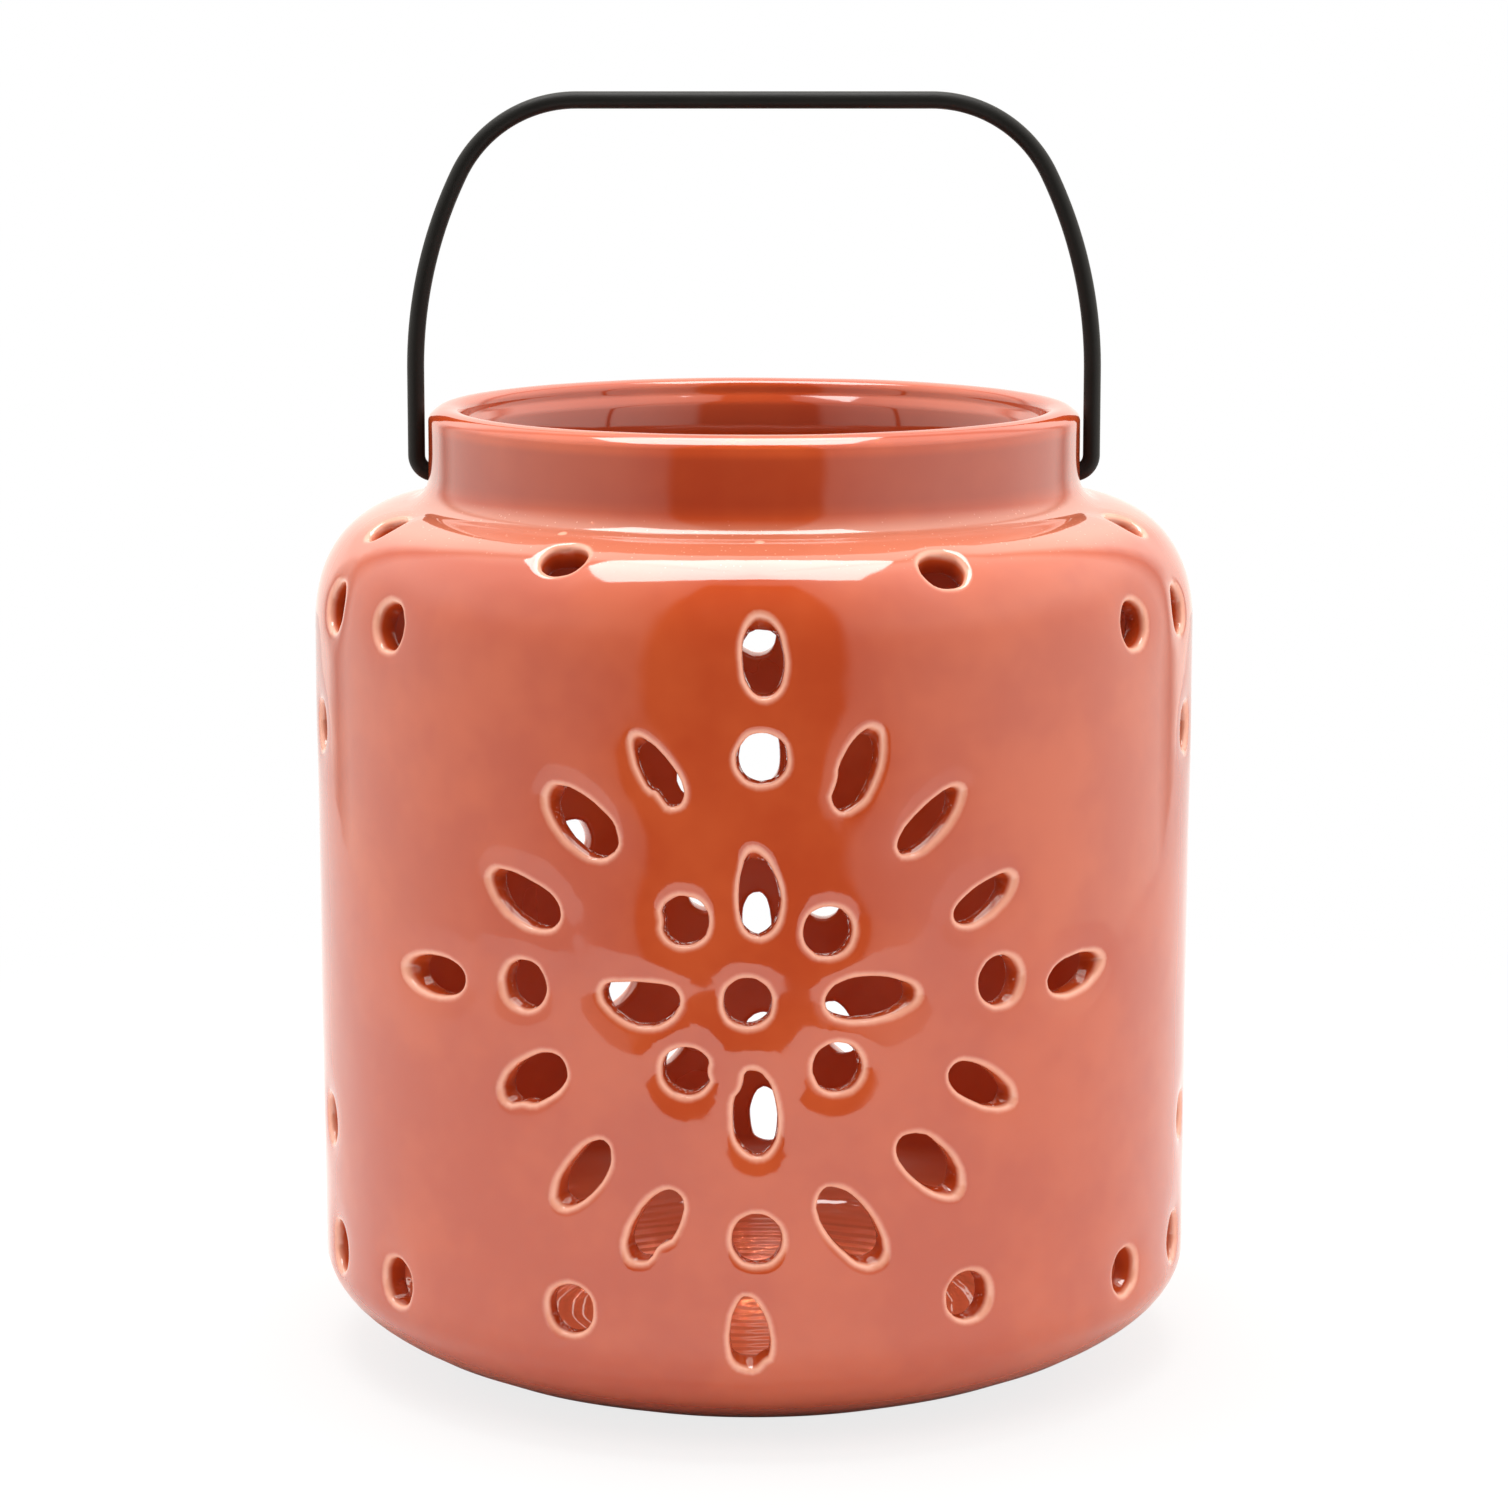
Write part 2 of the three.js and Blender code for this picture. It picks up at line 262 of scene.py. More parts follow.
def stepped(points, longest=1.5, close=0.1):
    """The same line with its long straight pieces cut into steps, the first and last of them very short."""
    made = [np.array(points[0], float)]
    for start, stop in zip(points, points[1:]):
        start, stop = np.array(start, float), np.array(stop, float)
        length = np.linalg.norm(stop - start)
        if length > 6 * close:
            steps = math.ceil((length - 2 * close) / longest)
            shares = np.linspace(close / length, 1 - close / length, steps + 1)
            made += [start + (stop - start) * share for share in shares]
        made.append(stop)
    return np.array(made)


print("line helpers ready")

# %% Draw the section
ring_inside = FOOT_RADIUS - FOOT_WIDTH
underside = eased([
    (0, FOOT_HEIGHT), (ring_inside - FOOT_HEIGHT, FOOT_HEIGHT, FOOT_ROUNDS[0]),
    (ring_inside, 0, FOOT_ROUNDS[1]), (FOOT_RADIUS, 0),
])
wall_foot = RADIUS - DRAFT
base = bezier(
    (FOOT_RADIUS, 0),
    (FOOT_RADIUS + BASE_OUT * (wall_foot - FOOT_RADIUS), BASE_UP * BASE_ROUND),
    (wall_foot, BASE_ROUND * (1 - BASE_IN)),
    (wall_foot, BASE_ROUND),
    60,
)
crown = NECK + SHOULDER_GAP
quarter = np.linspace(0, math.pi / 2, 90)
shoulder = np.stack([
    crown + (RADIUS - crown) * np.cos(quarter) ** (2 / SHOULDER_POWER),
    WALL_TOP + SHOULDER_RISE * np.sin(quarter) ** (2 / SHOULDER_POWER),
], axis=1)
shoulder = shoulder[shoulder[:, 0] > NECK + NECK_FILLET]
fall = (shoulder[-2] - shoulder[-1]) / (shoulder[-2, 0] - shoulder[-1, 0])
neck_foot = shoulder[-1, 1] - fall[1] * (shoulder[-1, 0] - NECK)
wall_line = stepped([base[-1], shoulder[0]])[1:-1]
ledge = RIM - LEDGE_DEPTH
throat_top, throat_foot = RIM - THROAT_BELOW_RIM, SHOULDER_TOP - THROAT_PAST_SHOULDER
neck_and_lip = eased([
    tuple(shoulder[-1]),
    (NECK, neck_foot, NECK_FILLET),
    (NECK, RIM - LIP_BEVEL_DROP, LIP_BEVEL_ROUND),
    (NECK - LIP_BEVEL, RIM + LIP_BEVEL_TOP, LIP_EDGE_ROUND),
    (LIP_INSIDE + RIM_CROWN_WIDTH, RIM + RIM_CROWN, LIP_EDGE_ROUND),
    (LIP_INSIDE, RIM, LIP_INNER_ROUND),
    (LIP_INSIDE, ledge, LEDGE_CORNER),
    (THROAT + THROAT_FLARE, ledge - LEDGE_SLOPE, LEDGE_EDGE),
    (THROAT, throat_top + THROAT_EASE, THROAT_EASE / 2),
    (THROAT, throat_top),
])
print("section parts", len(base), len(shoulder), len(neck_and_lip))


# %% Close the section on the inside
def measured(points):
    """The distance along a line to each of its points."""
    return np.concatenate([[0], np.cumsum(np.linalg.norm(np.diff(points, axis=0), axis=1))])


def inward(points, at):
    """The point one wall's thickness inside a line's point, and the line's direction there."""
    steps = np.diff(points[at - 1:at + 2], axis=0)
    along = (steps / np.linalg.norm(steps, axis=1)[:, None]).sum(axis=0)
    along /= np.linalg.norm(along)
    return points[at] + WALL * np.array([-along[1], along[0]]), along


outside = np.vstack([underside[:-1], base, wall_line, shoulder[:-1], neck_and_lip])
foot_at = len(underside) - 1
pierced_from = foot_at + int(np.argmin(abs(base[:, 0] - PIERCED_RADIUS)))
pierced_to = foot_at + len(base) + len(wall_line) + len(shoulder) + PIERCED_FILLET_POINTS
inner_foot, foot_way = inward(outside, pierced_from)
inner_crown, _ = inward(outside, pierced_to)
inner_throat = eased([
    (THROAT, throat_foot), (THROAT, SHOULDER_TOP - WALL, THROAT_ROUND), tuple(inner_crown),
])
floor_line = bezier(
    inner_foot, inner_foot - FLOOR_PULL * foot_way,
    (FOOT_RADIUS + FLOOR_EASE, FLOOR), (FOOT_RADIUS - FLOOR_EASE, FLOOR), 14,
)
throat_line = stepped([(THROAT, throat_top), (THROAT, throat_foot)])[1:-1]
floor_end = stepped([floor_line[-1], (0, FLOOR)])[1:]
to_throat_end = np.vstack([outside, throat_line])
section = np.vstack([to_throat_end, inner_throat, floor_line, floor_end])
along_section = measured(section)
LOW, HIGH = along_section[pierced_from], along_section[pierced_to]
NECK_END = along_section[len(outside) - 1]
THROAT_END = along_section[len(to_throat_end)]
CROWN_END = along_section[len(to_throat_end) + len(inner_throat) - 1]
FLOOR_START = along_section[len(to_throat_end) + len(inner_throat)]
SECTION_END = along_section[-1]
print("section", round(SECTION_END), "mm long; pierced from", round(LOW, 1), "to", round(HIGH, 1))


# %% Find places along the section
def section_at(height):
    """How far along the outside section a height is, from the wall up."""
    stop = int(np.argmax(section[:, 1]))
    return float(np.interp(height, section[foot_at:stop, 1], along_section[foot_at:stop]))


def radius_at(place):
    """The section's radius at a distance along it."""
    return float(np.interp(place, along_section, section[:, 0]))


def rows_between(start, stop, widest, turn=9.0, closest=0.25):
    """Places for rows of faces: one wherever the section has turned by some degrees or run on for a while."""
    steps = np.diff(section, axis=0)
    headings = np.degrees(np.unwrap(np.arctan2(steps[:, 1], steps[:, 0])))
    headings = np.append(headings, headings[-1])
    rows, heading = [start], np.interp(start, along_section, headings)
    for place, way in zip(along_section, headings):
        far = place - rows[-1]
        if far > closest and place < stop - closest and (abs(way - heading) > turn or far > widest):
            rows.append(place)
            heading = way
    return rows + [stop]


print("the medallion's middle is", round(section_at(MEDALLION_HEIGHT), 1), "mm along the section")

# %% [markdown]
# ## The pattern of holes
#
# The potter lays out a flower of petals round a centre, twice, on the front and the back, and rows of round
# holes between them. Every hole is cut by hand, so no two are quite alike. The front holes are written one by
# one: round ones by centre and width, petals by their tip, their blunt end and their width. Their places were
# read in enlargements of the photograph, turned into millimetres on the pot with the camera above, and
# corrected. Some have a burr, a crumb of clay that the glaze has covered. The hidden holes follow the
# rule of the pattern, with small seeded differences of place, size and turn, and a few are shifted to where
# they show through front ones.

# %% Read the front medallion
FRONT_ROUNDS = {
    # name: (across, up, width), in millimetres from the medallion's centre
    "centre": (-1.4, -1.2, 10.4),
    "inner upper left": (-14.9, 16.2, 10.6),
    "inner upper right": (15.9, 13.9, 10.7),
    "inner lower left": (-14.6, -16.4, 10.6),
    "inner lower right": (18.1, -15.6, 10.8),
    "ring top": (1.7, 50.9, 10.8),
    "ring bottom": (0.6, -52.8, 11.0),
    "ring left": (-51.9, -0.2, 10.7),
    "ring right": (56.2, 0.4, 10.8),
    "corner left": (-41.1, -70.4, 10.7),
    "corner right": (48.8, -68.2, 10.6),
}
FRONT_PETALS = {
    # name: (tip across, tip up, blunt end across, blunt end up, width, pointedness, bow, tip's slope)
    "inner top": (-0.2, 31.8, 1.4, 13.0, 8.9, 0.4, 0.12, 3.5),
    "inner bottom": (-0.2, -15.3, 0.6, -34.4, 9.8, 0.35, 0.0, 1.5),
    "inner left": (-33.2, 0.2, -15.8, -1.0, 9.6, 0.25, -0.34, 1.0),
    "inner right": (36.0, -0.6, 15.3, -1.4, 9.4, 0.35, -0.05, 2.0),
    "top, left of middle": (-25.5, 55.4, -16.1, 40.8, 7.0, 0.4, 0.0, 3.0),
    "top, right of middle": (25.9, 57.4, 18.4, 39.8, 8.2, 0.25, 0.05, 2.5),
    "upper left": (-45.2, 42.9, -30.4, 30.5, 10.6, 0.2, -0.06, 1.5),
    "upper right": (45.4, 43.0, 31.7, 30.2, 6.8, 0.2, 0.05, 2.5),
    "left, above middle": (-60.5, 23.2, -43.0, 14.8, 9.4, 0.25, -0.12, 1.5),
    "right, above middle": (59.0, 23.0, 44.6, 14.7, 6.8, 0.2, 0.1, 2.0),
    "left, below middle": (-57.6, -25.2, -42.0, -16.4, 9.6, 0.1, 0.0, 1.0),
    "right, below middle": (59.7, -26.4, 43.7, -17.8, 7.8, 0.2, 0.0, 1.5),
    "lower left": (-43.9, -47.5, -32.6, -33.0, 8.2, 0.15, -0.08, 1.5),
    "lower right": (45.9, -44.9, 32.0, -32.2, 9.2, 0.15, -0.1, 1.5),
    "bottom, left of middle": (-26.8, -58.4, -16.8, -42.8, 8.9, 0.1, 0.0, 1.5),
    "bottom, right of middle": (27.4, -58.8, 15.0, -42.4, 9.8, 0.1, 0.0, 1.5),
    "outer top": (1.2, 81.5, 2.6, 63.8, 9.0, 0.1, 0.0, 2.5),
    "outer bottom": (-1.6, -65.2, -0.4, -82.1, 8.8, 0.4, 0.0, 0.5),
    "outer left": (-87.1, -1.2, -67.9, -1.0, 8.6, 0.15, 0.0, 2.0),
    "outer right": (86.9, 0.8, 69.9, -2.1, 7.8, 0.3, 0.0, 2.0),
}
print(len(FRONT_ROUNDS), "front rounds,", len(FRONT_PETALS), "front petals")

# %% Read the rest of the front
SIDE_ROUNDS = {
    # name: (degrees round the pot from the front, height, width)
    "shoulder left": (-27.2, 193.7, 10.4), "shoulder right": (26.1, 191.8, 10.4),
    "shoulder far left": (-69.5, 194.5, 9.7), "shoulder far right": (73.2, 194.7, 9.5),
    "upper row left": (-52.9, 176.2, 10.8), "upper row far left": (-69.4, 177.0, 11.4),
    "upper row right": (56.5, 175.8, 10.6), "upper row far right": (72.3, 175.8, 11.0),
    "upper corner left": (-77.2, 148.3, 10.8), "upper corner right": (76.7, 148.1, 10.6),
    "lower corner left": (-75.3, 58.2, 10.8), "lower corner right": (79.2, 57.6, 10.2),
    "lower row left": (-52.9, 29.4, 10.6), "lower row far left": (-71.4, 30.0, 11.4),
    "lower row right": (56.5, 30.5, 10.2), "lower row far right": (74.2, 31.0, 10.6),
}
BURRS = {
    # name of the hole: (degrees clockwise from its top or its tip, size as a share of its half width)
    "inner upper left": (-92, 0.13), "inner lower left": (88, 0.15), "inner bottom": (-50, 0.14),
    "top, left of middle": (-128, 0.24), "top, right of middle": (-118, 0.18),
    "left, below middle": (-52, 0.15), "bottom, left of middle": (-68, 0.26), "outer bottom": (152, 0.12),
}
print(len(SIDE_ROUNDS), "side rounds,", len(BURRS), "burrs")

# %% List the holes of the front
SEED = 7
chance = np.random.default_rng(SEED)
SEAM = 84.3  # degrees round the pot, where no hole is
TIP_NARROWS, PETAL_FULLNESS, ROUND_FULLNESS = 0.28, 0.93, 0.96
SLANT_ACROSS, SLANT_UP = 0.35, 0.3
holes = []


def add_hole(azimuth, place, width, length=None, turn=0.0, tip=0.0, bow=0.0, web=0.0, uneven=1.0, name=None):
    """Notes one hole: where it is round the pot and along the section, and its shape."""
    azimuth = (azimuth - SEAM) % 360 - 360 + SEAM
    burr_way, burr = BURRS.get(name, (0, 0))
    holes.append({
        "middle_across": math.radians(azimuth) * RADIUS,
        "middle_up": place,
        "half_width": width / 2 / (1 - TIP_NARROWS * tip),
        "half_length": (length or width) / 2,
        "turn": turn,
        "tip": tip,
        "stretch": RADIUS / radius_at(place),
        "lip": 1.0,
        "bore": 0.0,
        "fullness": PETAL_FULLNESS if tip else ROUND_FULLNESS,
        "bow": bow,
        "slant_across": chance.normal(0, SLANT_ACROSS) * uneven,
        "slant_up": chance.normal(0, SLANT_UP) * uneven,
        "web": web,
        "number": float(len(holes)),
        "burr": burr,
        "burr_side": math.sin(math.radians(burr_way)),
        "burr_end": math.cos(math.radians(burr_way)),
    })


def petal_between(tip_end, blunt_end, width, tip, bow, web, azimuth=0.0, name=None):
    """Notes a petal by its two ends, in millimetres from a medallion's centre."""
    way = np.array(tip_end) - np.array(blunt_end)
    middle = (np.array(tip_end) + np.array(blunt_end)) / 2
    place = section_at(MEDALLION_HEIGHT + middle[1])
    add_hole(
        azimuth + math.degrees(middle[0] / RADIUS), place, width, float(np.linalg.norm(way)),
        math.atan2(way[0], way[1]), tip, bow, web, name=name,
    )


for name, (across, up, width) in FRONT_ROUNDS.items():
    add_hole(math.degrees(across / RADIUS), section_at(MEDALLION_HEIGHT + up), width, name=name)
for name, (tip_across, tip_up, blunt_across, blunt_up, *shape) in FRONT_PETALS.items():
    petal_between((tip_across, tip_up), (blunt_across, blunt_up), *shape, name=name)
for azimuth, height, width in SIDE_ROUNDS.values():
    add_hole(azimuth, section_at(height), width)
print(len(holes), "holes can be seen from the front")

# %% Sizes of the hidden pattern
PETAL_LENGTH, PETAL_WIDTH, ROUND_WIDTH = 18.0, 8.2, 10.4
BACK = 180.0
INNER_ROUNDS, INNER_PETALS, RING, RAYS = 22.0, 24.2, 52.5, 54.0  # from a medallion's centre
OUTER_PETALS = (73, 77)  # the upright pair, and the pair across
# The holes beside it: (degrees from the back's middle, millimetres up from the medallion's centre).
BESIDE = ((53.7, 73), (70.8, 73), (53.7, -73), (70.8, -73), (75.2, 45.3), (75.2, -45.3))
CORNER, SHOULDER_HOLES, SHOULDER_HOLE_RISE = (25.5, -69), (26.6, 69.8), 23
SIDE_COLUMN, SIDE_ROUND_OUT = 90, 73
SHOWING_THROUGH = {
    # (kind, direction): (shift across, shift up, extra width, extra turn), for back holes seen from the front
    ("ring", 0): (-0.2, -3.0, 0, 0), ("ring", 90): (-2.8, -0.4, 0, 0),
    ("ring", 180): (-1.8, 0.4, 0, 0), ("ring", 270): (-2.2, 0, 0, 0),
    ("diagonal", 0): (1.1, -1.9, 0, 0), ("diagonal", 90): (-3.1, 1.7, 0, 0),
    ("diagonal", 180): (-1.0, -1.4, 0, 0), ("diagonal", 270): (-0.7, -1.7, 0, 0),
    ("inner", 0): (-2.0, -4.0, 2.6, 0), ("outer", 180): (-4.1, -1.3, 0, 0),
    ("inner", 90): (-0.5, -1.4, -0.4, 0), ("inner", 270): (0.5, -1.0, -0.4, 0),
    ("ray", 112.5): (-4.0, -0.8, 0, 0), ("ray", 157.5): (0.3, -1.4, 0, 0),
    ("ray", 202.5): (-2.6, -1.6, 0, 9), ("ray", 225.0): (-8.6, 1.0, -1.4, 0),
    ("ray", 247.5): (3.5, -1.0, 0, 0),
}
NOT_SHOWN = (0, 0, 0, 0)
print(len(SHOWING_THROUGH), "back holes show through front ones")


# %% Rules for one hidden hole
def near(value, spread):
    """A value with a small seeded difference."""
    return value + chance.normal(0, spread)


def change_of(kind, direction):
    """What a back hole that shows through a front one is changed by."""
    return SHOWING_THROUGH.get((kind, direction), NOT_SHOWN)


def rule_petal(out, direction, azimuth, change=NOT_SHOWN):
    """A petal some way out from a medallion's centre, its tip outwards. Directions run clockwise from up."""
    slope = math.radians(direction)
    turn = math.radians(near(direction, 3) + change[3])
    half = near(PETAL_LENGTH, 0.6) / 2
    across, up = near(out * math.sin(slope), 0.7), near(out * math.cos(slope), 0.7)
    middle = np.array([across + change[0], up + change[1]])
    way = half * np.array([math.sin(turn), math.cos(turn)])
    shape = near(PETAL_WIDTH, 0.6) + change[2], near(0.3, 0.1), near(0, 0.15), near(2.0, 0.6)
    petal_between(middle + way, middle - way, *shape, azimuth)


def rule_round(azimuth, height, change=NOT_SHOWN):
    """A round hole at an azimuth and a height."""
    azimuth = near(azimuth, 0.4) + math.degrees(change[0] / RADIUS)
    add_hole(azimuth, section_at(near(height, 0.6) + change[1]), near(ROUND_WIDTH, 0.2))


def back_round(out, direction, change):
    """A round hole some way out from the back medallion's centre."""
    slope = math.radians(direction)
    azimuth = BACK + math.degrees(out / RADIUS * math.sin(slope))
    rule_round(azimuth, MEDALLION_HEIGHT + out * math.cos(slope), change)


print("rules for petals and rounds ready")

# %% Place the hidden holes
rule_round(BACK, MEDALLION_HEIGHT)
for quarter_turn in range(4):
    direction = 90 * quarter_turn
    back_round(INNER_ROUNDS, direction + 45, change_of("diagonal", direction))
    rule_petal(INNER_PETALS, direction, BACK, change_of("inner", direction))
    rule_petal(OUTER_PETALS[quarter_turn % 2], direction, BACK, change_of("outer", direction))
    back_round(RING, direction, change_of("ring", direction))
    for step in (1, 2, 3):
        ray = direction + 22.5 * step
        rule_petal(RAYS, ray, BACK, change_of("ray", ray))
for side in (-1, 1):
    rule_round(BACK + side * CORNER[0], MEDALLION_HEIGHT + CORNER[1])
    for azimuth, up in BESIDE:
        rule_round(BACK + side * azimuth, MEDALLION_HEIGHT + up)
    for azimuth in SHOULDER_HOLES:
        rule_round(BACK + side * azimuth, WALL_TOP + SHOULDER_HOLE_RISE)
    rule_round(side * SIDE_COLUMN, MEDALLION_HEIGHT)
    for up in (-1, 1):
        rule_round(side * SIDE_COLUMN, MEDALLION_HEIGHT + up * SIDE_ROUND_OUT)
        rule_petal(INNER_PETALS, 0 if up > 0 else 180, side * SIDE_COLUMN)
print(len(holes), "holes in all, before those for the handle")

# %% Add the two holes for the handle
BORE, BORE_LIP = 4.9, 0.3
for side in (-1, 1):
    add_hole(side * 90, section_at(PIVOT_HEIGHT), BORE, uneven=0)
    holes[-1].update(lip=BORE_LIP, bore=1.0)

hole_points = bpy.data.meshes.new("hole_points")
middles = [(hole["middle_across"] * MM, hole["middle_up"] * MM, 0) for hole in holes]
hole_points.from_pydata(middles, [], [])
IN_MILLIMETRES = {
    "middle_across", "middle_up", "half_width", "half_length", "slant_across", "slant_up", "web",
}
for name in holes[0]:
    scale = MM if name in IN_MILLIMETRES else 1
    layer = hole_points.attributes.new(name, "FLOAT", "POINT")
    layer.data.foreach_set("value", [hole[name] * scale for hole in holes])
print(len(holes), "holes with", len(holes[0]), "numbers each")

# %% [markdown]
# ## One lip, swept round every hole
#
# A hole cut in soft clay has a straight wall, and its edges are rounded by a wet sponge. Cutting the holes
# with a Boolean would leave sharp edges and long thin faces. Here Geometry Nodes draws each hole's outline
# on the flat sheet, from a circle that a rule bends into a petal and dents with its burr, and sweeps the
# section of the lip round it. The section runs from a short flange on the inside, through the hole's wall,
# to a flange on the outside.

# %% Draw the lip's section
POINTS_ROUND_A_HOLE = 36
LIP_ROUND, INNER_ROUND, FLANGE, INNER_FLANGE = 1.1, 0.9, 2.2, 1.6
lip_section = [(INNER_FLANGE, WALL)]
lip_section += [
    (INNER_ROUND * (1 - math.cos(angle)), WALL - INNER_ROUND * (1 - math.sin(angle)))
    for angle in (math.pi / 2, math.pi / 4, 0)
]
OUTLINE_POINT = len(lip_section)  # the point half way through the wall
lip_section += [(0, WALL / 2)]
lip_section += [
    (LIP_ROUND * (1 - math.cos(angle)), LIP_ROUND * (1 - math.sin(angle)))
    for angle in np.linspace(0, math.pi / 2, 5)
]
lip_section += [(FLANGE, 0)]


def line_object(name, points):
    """A curve object of straight steps through points."""
    data = bpy.data.curves.new(name, "CURVE")
    data.dimensions = "3D"
    spline = data.splines.new("POLY")
    spline.points.add(len(points) - 1)
    for point, place in zip(spline.points, points):
        point.co = (*place, 1)
    return add_object(name, data)


lip_line = line_object("lip_section", [(across * MM, down * MM, 0) for across, down in lip_section])
print("the lip's section has", len(lip_section), "points")

# %% The tree that cuts the holes
TAPER_BEND, OUTLINE_SCALE, HOLE_STEP, BURR_REACH = 1.6, 1.6, 7.3, 0.07
cut, given = new_tree("Cut holes", {
    "Lip section": "Object", "Points round a hole": "Int", "Wobble": "Float", "Crumbs": "Float",
    "Seed": "Int", "Wall": "Float", "Material": "Material",
})
circle = node(cut, "GeometryNodeCurvePrimitiveCircle", {
    "Resolution": given["Points round a hole"], "Radius": 1.0,
})
x, y, _ = position(cut)
circle = carry(cut, circle, {"side": x, "end": y})
outlines = node(cut, "GeometryNodeInstanceOnPoints", {"Points": given["Geometry"], "Instance": circle})
outlines = node(cut, "GeometryNodeRealizeInstances", {"Geometry": outlines})

hole = {name: attribute(cut, name) for name in holes[0] if name != "bore"}
side, end = attribute(cut, "side"), attribute(cut, "end")
taper = (hole["tip"] * -1) * (((end + 1) * 0.5).math("MAXIMUM", 0) ** TAPER_BEND) + 1
place = join(cut, side, end, hole["number"] * HOLE_STEP + given["Seed"])
noise = node(cut, "ShaderNodeTexNoise", {"Vector": place, "Scale": OUTLINE_SCALE, "Detail": 1.0})
burr_near = side * hole["burr_side"] + end * hole["burr_end"]
burr_near = ((burr_near - (1 - BURR_REACH)) / BURR_REACH).math("MAXIMUM", 0)
grown = (noise - 0.5) * given["Wobble"] + 1 - burr_near * hole["burr"]
full_side = side.math("SIGN") * side.math("ABSOLUTE") ** hole["fullness"]
full_end = end.math("SIGN") * end.math("ABSOLUTE") ** hole["fullness"]
bowed = full_side * taper + hole["bow"] * (end * end * -1 + 1)
across = bowed * hole["half_width"] * grown
along = full_end * hole["half_length"] * grown
cosine, sine = hole["turn"].math("COSINE"), hole["turn"].math("SINE")
turned_x = across * cosine + along * sine + hole["middle_across"]
turned_y = along * cosine - across * sine + hole["middle_up"]
flat = join(cut, turned_x, turned_y)
outlines = node(cut, "GeometryNodeSetPosition", {"Geometry": outlines, "Position": flat})
outlines = carry(cut, outlines, {"outline_x": turned_x, "outline_y": turned_y})
outlines = node(cut, "GeometryNodeSetCurveNormal", {"Curve": outlines}, mode="Z_UP")
print("the outline's rule is in place")

# %% Sweep the lip and slant the cuts
CRUMB_SCALE, CRUMB_START = 520.0, 6
lip = output(node(cut, "GeometryNodeObjectInfo", {"Object": given["Lip section"]}), "Geometry")
x, y, _ = position(cut)
lip = carry(cut, lip, {"edge": x, "drop": y})
swept = node(cut, "GeometryNodeCurveToMesh", {"Curve": outlines, "Profile Curve": lip})

x, y, _ = position(cut)
outline_x, outline_y = attribute(cut, "outline_x"), attribute(cut, "outline_y")
x = outline_x + (x - outline_x) * hole["lip"]
y = outline_y + (y - outline_y) * hole["lip"]
share = attribute(cut, "drop") / given["Wall"]
held_back = hole["web"] * share * (end.math("MAXIMUM", 0) ** 2)
x = x + hole["slant_across"] * share - held_back * sine
y = y + hole["slant_up"] * share - held_back * cosine
crumbs = node(cut, "ShaderNodeTexNoise", {
    "Vector": node(cut, "GeometryNodeInputPosition", {}), "Scale": CRUMB_SCALE, "Detail": 2.0,
})
crumbs = (crumbs - 0.5) * given["Crumbs"] * (share * CRUMB_START).math("MINIMUM", 1) * hole["lip"]
x = x + (x - hole["middle_across"]) * crumbs
y = y + (y - hole["middle_up"]) * crumbs
x = hole["middle_across"] + (x - hole["middle_across"]) * hole["stretch"]
placed = join(cut, x, y, share * given["Wall"] * -1)
swept = node(cut, "GeometryNodeSetPosition", {"Geometry": swept, "Position": placed})
swept = carry(cut, swept, {"depth": share})
close_tree(cut, swept, given["Material"])

glaze = bpy.data.materials.new("coral_glaze")
collars = run_tree(cut, add_object("holes", hole_points), {
    "Lip section": lip_line, "Points round a hole": POINTS_ROUND_A_HOLE, "Wobble": 0.12, "Crumbs": 0.09,
    "Seed": SEED, "Wall": WALL * MM, "Material": glaze,
})

# %% Read the collars back
def numbers(layer, count, width=1, name="value"):
    """A mesh layer as an array."""
    values = np.zeros(count * width, np.float32)
    layer.foreach_get(name, values)
    return values.reshape(count, width) if width > 1 else values


count = len(collars.vertices)
collar_points = numbers(collars.vertices, count, 3, "co").astype(float)
collar_edge, collar_depth, collar_bore = [
    numbers(collars.attributes[name].data, count) for name in ("edge", "depth", "bore")
]
collar_faces = [tuple(face.vertices) for face in collars.polygons]
rings = np.arange(count).reshape(len(holes), POINTS_ROUND_A_HOLE, len(lip_section))
print("collars:", rings.shape, "height", collar_points[:, 2].min(), collar_points[:, 2].max())

# %% [markdown]
# ## The clay between the holes
#
# The rest of the wall is a flat sheet that fits exactly round the collars. A grid alone can't follow their
# round edges, so the grid's points and the collars' edges go together into a Delaunay triangulation, which
# joins them with the best-shaped triangles. The inside gets a coarser sheet, because little of it is seen.

# %% Tell what lies in a hole or near it
def inside_loop(points, loop):
    """Which points lie inside a closed line."""
    found = np.zeros(len(points), bool)
    for (x0, y0), (x1, y1) in zip(loop, np.roll(loop, -1, axis=0)):
        crosses = (points[:, 1] < y0) != (points[:, 1] < y1)
        slope = (x1 - x0) / (y1 - y0) if y1 != y0 else 0.0
        found ^= crosses & (points[:, 0] < x0 + slope * (points[:, 1] - y0))
    return found


def loop_distance(points, loop):
    """The distance from each point to a closed line."""
    best = np.full(len(points), np.inf)
    for start, stop in zip(loop, np.roll(loop, -1, axis=0)):
        way = stop - start
        share = np.clip(((points - start) @ way) / max(way @ way, 1e-18), 0, 1)
        best = np.minimum(best, np.linalg.norm(points - start - share[:, None] * way, axis=1))
    return best


print("loop helpers ready")

# %% Triangulate a sheet round its holes
COLUMNS = 264
LEFT = math.radians(SEAM - 360) * RADIUS * MM
RIGHT = math.radians(SEAM) * RADIUS * MM
HOLE_REACH = 30 * MM


